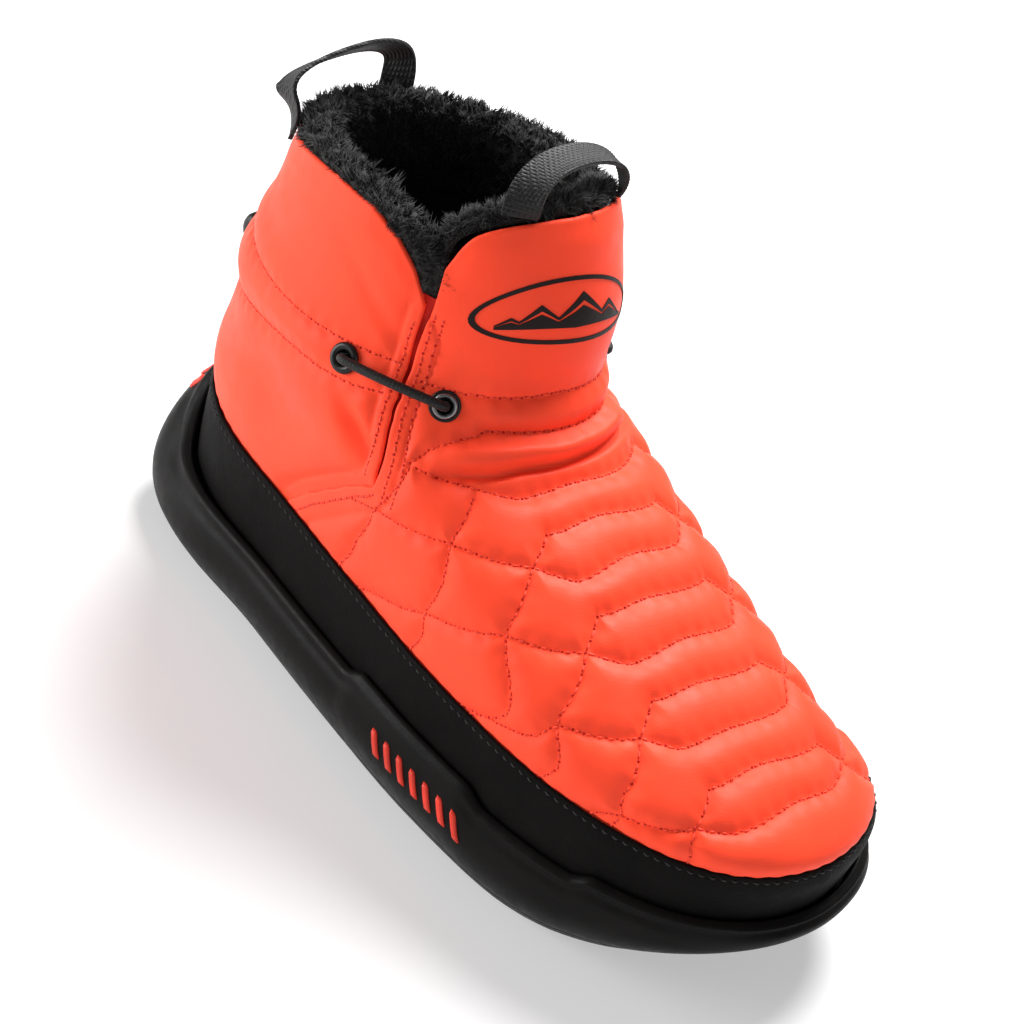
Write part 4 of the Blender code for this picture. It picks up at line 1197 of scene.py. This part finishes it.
def make_trims():
    u = np.linspace(1 - 0.1650, 0.1650, 260)
    edge = line_level(QUARTER_TOP)(u)
    top = np.interp(mirrored(u), [0.16, 0.20, 0.28, 0.36, 0.5], [7.75, 8.0, 8.06, 7.92, 7.72])
    tall = (top - edge) * LEVEL_MM
    near_end = smooth_step(0.180, 0.167, mirrored(u))
    flare = 7.0 * smooth_step(0.68, 0.79, u) * (1 - smooth_step(0.795, 0.832, u))
    tucked = 4.2 * near_end
    heights = (0.5, 0.5 * tall, tall - 2, tall, tall - 2.5, 0, -30)
    depths = (0.8 - 0.2 * flare + tucked, 0.4 - 0.8 * flare + tucked, 1.8 - flare + tucked, 6.6 - flare,
              11.6 - 0.5 * flare, 12.4, 12.7)
    make_trim("fur_collar_rear", "fur_rear", np.stack([u, edge], -1), heights, depths,
              1 - 0.6 * near_end, 22000, "boot")
    path = dense(there_and_back([(0.1635, 6.78), (0.1605, 7.1), (0.156, 7.5)] + COLLAR_TOP[5::-1]), 1.0)
    full = 0.25 + 0.75 * smooth_step(6.75, 7.5, path[:, 1])
    heights = [share * full for share in (0.7, 3.0, 5.6, 6.4, 5.2, 0, -26)]
    near_notch = 1 - full
    depths = (2.7 + 3.2 * near_notch, 2.5 + 4.4 * near_notch, 3.9 + 4.0 * near_notch, 7.4 + near_notch,
              11.4, 12.4, 12.8)
    make_trim("fur_collar_front", "fur_front", path, heights, depths,
              0.35 + 0.65 * full, 13000, "front_collar")


def make_fleece(name, node_name, u, level, body, depth=12.3):
    """A lumpy plush lining, seen from inside the boot."""
    points = layer(u, level, np.full(np.shape(u), depth))
    lumps = 0.7 * ripples(points, 2.3) + 0.5 * ripples(points, 4.9)
    points = points - skin_normal(u, level) * lumps[..., None]
    made = add_grid(name, points[:, ::-1], MATERIALS["fleece"], name == "fleece_foot")
    declare(made, "fleece", body, node_name)


def make_linings():
    split, top, collar_top = line_level(LINING_SPLIT), line_level(QUARTER_TOP), line_level(COLLAR_TOP)
    u = np.arange(240) / 240
    level = 0.15 + split(u) * np.linspace(0, 1, 90)[:, None]
    make_fleece("fleece_foot", "lining_foot", np.broadcast_to(u, level.shape), level, "boot")
    u, level = grid_between(lambda at: border_u(at) + 0.004, lambda at: 1 - border_u(at) - 0.004,
                            lambda at: split(at) - 0.1, top, 220, 110)
    make_fleece("fleece_rear", "lining_rear", u, level, "boot")

    def side(at):
        return front_side_u(np.minimum(at, 7.5))

    u, level = grid_between(lambda at: -side(at), side, lambda at: split(at) - 0.05,
                            lambda at: np.minimum(collar_top(at), 8.4), 120, 80)
    make_fleece("fleece_front", "lining_front", u, level, "front_collar", 12.6)


def make_footbed():
    u = np.arange(200) / 200
    plan = offset_ring(u, 32.8, -13.4)
    rings = []
    for z in (33.0, 36.6, 37.3):
        rings.append(np.column_stack([plan[:, :2], np.full(200, z)]))
    middle = rings[-1].mean(0)
    for share in np.linspace(0.94, 0.04, 26):
        ring = middle + (rings[-1] - middle) * share
        ring[..., 2] = 37.2 + 0.35 * ripples(ring, 2.4)
        rings.append(ring)
    made = add_piece("footbed_plush", np.vstack(rings), tube_faces(len(rings), 200), MATERIALS["fleece"], True)
    declare(made, "fleece", "boot", "footbed")


# ==== Eyelets, cord, lock and loops

def skin_frame(place, inner_side):
    u, level = place
    u = 1 - u if inner_side else u
    return skin(u, level), skin_normal(u, level)


def revolved(profile, centre, axis, first, second, segments):
    """Rows of points, one for each (radius, distance) pair, round an axis with two directions across it."""
    angles = angles_round(segments)[:, None]
    spokes = np.cos(angles) * first + np.sin(angles) * second
    return np.vstack([np.array(centre) + spokes * radius + axis * distance for radius, distance in profile])


def turned(name, finish, profile, centre, axis, segments):
    """A ring turned round an axis from a closed outline of (radius, distance) pairs."""
    axis = unit(axis)
    first = unit(np.cross(axis, (0.0, 0.0, 1.0) if abs(axis[2]) < 0.9 else (1.0, 0.0, 0.0)))
    points = revolved(profile, centre, axis, first, np.cross(axis, first), segments)
    faces = grid_faces(len(profile) + 1, segments, True) % len(points)
    return add_piece(name, points, faces, finish, True, 60)


def ring_outline(middle, height, half_width, half_height, degrees):
    """(radius, distance) pairs on an arc or a whole oval."""
    angles = np.radians(degrees)
    return [(middle - half_width * math.cos(a), height + half_height * math.sin(a)) for a in angles]


EYELET_BORE = 2.5
EYELET_TAIL = -4.8


def make_eyelets():
    """Crowned eyelets. The front ones have a dark rim as well, and each has a black disc down its bore:
    painted shade inside the bore.
    """
    places = (("front", FRONT_EYELET, "front_collar", "eyelet_grey", 4.35),
              ("rear", REAR_EYELET, "boot", "eyelet_black", 5.25))
    bore_shade_outline = [(0.02, -1.6), (2.7, -1.6), (2.7, -2.4), (0.02, -2.4)]
    for side, inner_side in (("lateral", False), ("medial", True)):
        for place_name, place, body, finish, outer in places:
            centre, out = skin_frame(place, inner_side)
            half = (outer - EYELET_BORE) / 2
            crown = ring_outline((EYELET_BORE + outer) / 2, 1.0, half, 1.1, np.arange(10, 171, 16))
            profile = [(EYELET_BORE, EYELET_TAIL), (EYELET_BORE, 0.9)] + crown
            profile += [(outer, 0.75), (outer - 0.25, 0.3), (3.3, 0.2), (3.3, EYELET_TAIL)]
            made = turned(f"grommet_{place_name}_{side}", MATERIALS[finish], profile, centre, out, 56)
            declare(made, finish, body, f"eyelet_{place_name}_{side}")
            # A black disc a little way down each bore, in the fleece's colour: painted shade inside the
            # eyelet.
            bore_shade = turned(f"grommet_core_{place_name}_{side}", MATERIALS["fleece"], bore_shade_outline, centre, out, 24)
            declare(bore_shade, "fleece", body)
            if place_name == "front":
                rim = ring_outline(4.7, 0.8, -0.62, 0.62, np.arange(0, 360, 30))
                seat = turned(f"grommet_rim_{side}", MATERIALS["eyelet_black"], rim, centre, out, 56)
                declare(seat, "eyelet_black", body)


def braided(name, path, across, radius):
    """A round braid: a tube whose radius swells where the plaited strands cross."""
    twist = lengths_along(path)[:, None] * 2.2
    angles = angles_round(20)
    plait = np.sin(4 * angles[None, :] + twist) * np.sin(4 * angles[None, :] - twist)
    size = radius * (1 + 0.03 * plait)
    outline = np.stack([size * np.cos(angles), size * np.sin(angles)], -1)
    points = tube_points(path, across, outline)
    return add_piece(name, points.reshape(-1, 3), tube_faces(len(path), len(angles)), MATERIALS["cord"], True)


def cord_span_path(inner_side):
    """Out of the front eyelet's bore, over to the rear one and into it."""
    front, front_out = skin_frame(FRONT_EYELET, inner_side)
    rear, rear_out = skin_frame(REAR_EYELET, inner_side)
    run = rear - front
    steps = ((-3.4, 0.0), (0.6, 0.0), (3.4, 0.01), (4.9, 0.14))
    middle = (front + rear + (front_out + rear_out) * 6.3) / 2
    points = [front + front_out * lift + run * share for lift, share in steps] + [middle]
    points += [rear + rear_out * lift - run * share for lift, share in steps[::-1]]
    return smooth_path(points, 190)


TAIL_X = {"lateral": -3.1, "medial": 0.1}
TAIL_Y = 146.0
TAIL_PLACES = ((136.0, 131.5), (140.5, 131.5), (144.4, 130.5), (TAIL_Y, 127.5), (TAIL_Y, 123.0),
               (TAIL_Y, 113.0), (TAIL_Y, 105.0), (TAIL_Y, 99.5))
LOCK_MIDDLE = np.array([-1.5, TAIL_Y, 117.5])


def make_cords():
    """The elastic's two spans at the sides, and the two tails that come out at the heel."""
    for side, inner_side in (("lateral", False), ("medial", True)):
        made = braided(f"elastic_span_{side}", cord_span_path(inner_side), (0.05, 0.1, 1.0), 1.6)
        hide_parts(f"cord_span_{side}")
        blend_collar(made)
    for name, x in TAIL_X.items():
        path = smooth_path([(x, y, z) for y, z in TAIL_PLACES], 120)
        made = braided(f"elastic_tail_{name}", path, (1.0, 0.0, 0.0), 1.5)
        declare(made, "elastic", "boot", f"cord_tail_{name}")


def rounded_body(name, centre, axis, profile, segments=40, squash=1.0):
    """A toggle part turned round an axis and flattened across it, from (radius, distance) pairs."""
    first = np.array([0.0, 0.0, 1.0]) if abs(axis[2]) < 0.9 else np.array([1.0, 0.0, 0.0])
    points = revolved(profile, centre, np.array(axis), first, np.cross(axis, first) * squash, segments)
    return add_piece(name, points, tube_faces(len(profile), segments), MATERIALS["toggle"], True, 45)


def make_lock():
    """The ribbed toggle, its button, the bell on the cord's ends and the grommet that the tails leave by."""
    body = [(2.6, -10.3), (4.6, -9.7), (5.6, -8.4), (5.9, -6.6)]
    for at in -5.6 + 2.3 * np.arange(5):
        body += [(5.95, at), (5.55, at + 0.45), (5.55, at + 0.95), (5.95, at + 1.4)]
    body += [(5.9, 6.2), (5.5, 7.1), (4.4, 7.5), (3.15, 7.5), (3.15, 6.6)]
    button = [(2.75, -4.0), (2.75, 8.9), (3.0, 9.1), (3.0, 9.9), (2.6, 10.5), (1.6, 10.9), (0.5, 11.0)]
    bell = [(1.8, 99.4), (3.0, 99.0), (3.6, 97.6), (4.2, 94.6), (4.3, 92.6), (3.8, 91.1), (2.2, 90.5)]
    grommet = [(3.4, -0.6), (3.4, 0.7), (3.9, 1.3), (4.6, 1.1), (5.0, 0.4), (4.9, -0.6)]
    made = rounded_body("toggle_body", LOCK_MIDDLE, (1, 0, 0), body, 48, 0.74)
    declare(made, "toggle", "cord_lock", "cord_lock")
    made = rounded_body("toggle_button", LOCK_MIDDLE, (1, 0, 0), button)
    declare(made, "toggle", "lock_button", "lock_button")
    made = rounded_body("cord_bell", (LOCK_MIDDLE[0], TAIL_Y, 0.0), (0, 0, 1), bell, 40, 0.66)
    declare(made, "toggle", "boot", "cord_end")
    made = turned("tail_grommet", MATERIALS["eyelet_black"], grommet, (-1.5, 138.6, 131.5), (0, 1, 0.1), 40)
    declare(made, "eyelet_black", "boot")


def webbing_outline(width, thickness):
    """Flat woven tape with thicker, rounded selvedges."""
    half = [(1.0, 0.3), (0.97, 0.85), (0.88, 1.0), (0.78, 0.72), (0.4, 0.7), (0.0, 0.7)]
    shape = [(-x, z) for x, z in half] + half[-2::-1]
    upper = [(width / 2 * x, thickness / 2 * z) for x, z in shape]
    return np.array(upper + [(x, -z) for x, z in upper[::-1]])


def make_loop(name, node_name, us, level, depth, peak_height, bulge, lean, top_across):
    """A tape from one place on the skin to another. It stands peak_height high, bulges to both sides,
    leans back and turns to top_across at its top."""
    us = np.array(us)
    low, high = layer(us, level, np.full(2, depth))
    middle, reach = (low + high) / 2, (high - low) / 2
    angle = np.linspace(0, math.pi, 121)[:, None]
    height = np.sin(angle) ** 0.8
    bulges = np.where(angle < math.pi / 2, bulge[0], bulge[1])
    out = np.cos(angle) * (1 + bulges * np.sin(angle) ** 2)
    rise = height**2 * np.array([0.0, lean, 0.0]) + height * np.array([0.0, 0.0, peak_height])
    path = middle - reach * out + rise
    tangents = skin(us + 0.01, level) - skin(us - 0.01, level)
    tangents *= np.sign(tangents[:, 1:2]) / np.linalg.norm(tangents, axis=1, keepdims=True)
    ends = np.where(angle < math.pi / 2, tangents[0], tangents[1])
    share = np.sin(angle) ** 0.7
    across = ends * (1 - share) + np.array(top_across) * share
    lengths = lengths_along(path)
    fine = np.linspace(0, lengths[-1], 220)
    path, across = columns_at(fine, lengths, path), columns_at(fine, lengths, across)
    outline = webbing_outline(12.0, 1.6)
    ribs = 1 + 0.16 * np.sin(fine * 2 * math.pi / 1.1)[:, None, None] * np.array([0.0, 1.0])
    points = tube_points(path, across, outline[None] * ribs).reshape(-1, 3)
    made = add_piece(name, points, tube_faces(len(path), len(outline)), MATERIALS["webbing"], True, 50)
    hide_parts(node_name)
    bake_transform(made)


# ==== The panel's emblem

EMBLEM_CENTRE = (0.0245, 6.97)
EMBLEM_HALF = (0.1075, 0.46)
EMBLEM_BOW = 0.36


def emblem_place(across, up):
    """(u, level) of a place in the emblem's oval, where both run from -1 to 1."""
    across, up = np.asarray(across, float), np.asarray(up, float)
    bow = EMBLEM_BOW * (1 - across**2)
    return EMBLEM_CENTRE[0] + EMBLEM_HALF[0] * across, EMBLEM_CENTRE[1] + bow + EMBLEM_HALF[1] * up


def print_grid(pile, tree, across, up):
    """Adds a thin printed patch that lies on a made surface."""
    u, level = emblem_place(*np.broadcast_arrays(across, up))
    places, facing = drop(tree, u, level)
    rows, columns = places.shape[:2]
    top = places + facing * 0.30
    count = rows * columns
    index = np.arange(count).reshape(rows, columns)
    rim = [*index[0], *index[1:, -1], *index[-1, -2::-1], *index[-2:0:-1, 0]]
    under = (places - facing * 0.2).reshape(-1, 3)[rim]
    faces = grid_faces(rows, columns).tolist()
    for k in range(len(rim)):
        n = (k + 1) % len(rim)
        faces.append([rim[k], rim[n], count + n, count + k])
    faces.append([count + k for k in range(len(rim))])
    pile.add(np.vstack([top.reshape(-1, 3), under]), faces)


def make_emblem(front):
    """A plain oval with a ridge of peaks over it, flat black print."""
    tree = surface_tree(front)
    pile = Pile()
    angle = np.linspace(0, 2 * math.pi, 49)
    radius = np.array([0.945, 0.97, 1.0])[:, None]
    for first in range(0, 48, 12):
        a = angle[first:first + 13]
        print_grid(pile, tree, radius * np.cos(a), (1 + (radius - 1) * 2.4) * np.sin(a))
    across = np.linspace(-0.78, 0.78, 97)
    peaks = ((0.95, 2.3, -0.10), (0.66, 2.1, 0.36), (0.60, 2.1, -0.50), (0.34, 1.6, 0.64), (0.10, 0.0, 0.0))
    height = np.maximum.reduce([top - slope * np.abs(across - middle) for top, slope, middle in peaks])
    base = -0.52 + 0.18 * np.abs(across)
    for low, high in ((0.0, 0.60), (0.74, 1.0)):
        print_grid(pile, tree, across, base + height * 1.08 * np.linspace(low, high, 6)[:, None])
    made = pile.finish("panel_emblem", MATERIALS["print"], 60)
    declare(made, "softshell", "front_collar")


# ==== CAD nodes that stay

KEPT_NODES = {
    "board": ("lasting_board", "toe_puff", "heel_counter"),
    "cord": ("cord_channel_lateral", "cord_channel_medial", "cord_channel_front"),
    "steel": ("lock_spring", "washer_front_lateral", "washer_front_medial", "washer_rear_lateral",
              "washer_rear_medial"),
}


def refinish_kept_nodes():
    for finish, names in KEPT_NODES.items():
        for name in names:
            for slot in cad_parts[name].material_slots:
                slot.material = MATERIALS[finish]


add_camera()
add_floor_and_lights()
MATERIALS = make_materials()
FRONT_TREE = tree_of(quilt_lines() + collar_lines() + [rand_line(-1 / 3, 1 / 3, 40)])
FRONT_EDGE_TREE = tree_of([band_line(-0.002, (1.0, 7.6), side) for side in (False, True)])
CREASE_TREE = tree_of([dense([(-u, at) for u, at in CREASE[:0:-1]] + CREASE)])
QUARTER_TREE = tree_of(quarter_lines() + [rand_line(1 / 3, 2 / 3, 30)])
QUARTER_EDGE_TREE = tree_of([band_line(0.002, (1.0, 6.68), side) for side in (False, True)])

front_upper = make_front()
rear_upper = make_quarter()
make_stitching(front_upper, rear_upper)
make_emblem(front_upper)
blend_collar(front_upper)
for side_name, on_inner in (("lateral", False), ("medial", True)):
    blend_collar(make_gusset("panel_" + side_name, on_inner))
make_rand()
make_outsole()
make_midsole()
make_bars("side_bars", "sidewall_bars", 0.184, 7, 0.0075, 0.0035, (0.52, 0.78), 0.006)
make_bars("heel_marks", "heel_bars", 0.462, 7, 0.011, 0.006, (0.80, 0.90), 0.002)
make_trims()
make_linings()
make_footbed()
make_eyelets()
make_cords()
make_lock()
make_loop("pull_loop_front", "front_loop", (0.088, -0.088), 8.6, 0.6, 15, (0.15, 0.15), 4, (0.0, 1.0, 0.0))
make_loop("pull_loop_heel", "heel_loop", (0.40, 0.575), 7.33, -2.0, 23, (1.4, 0.7), 4, (0.0, 0.7, -0.7))
refinish_kept_nodes()
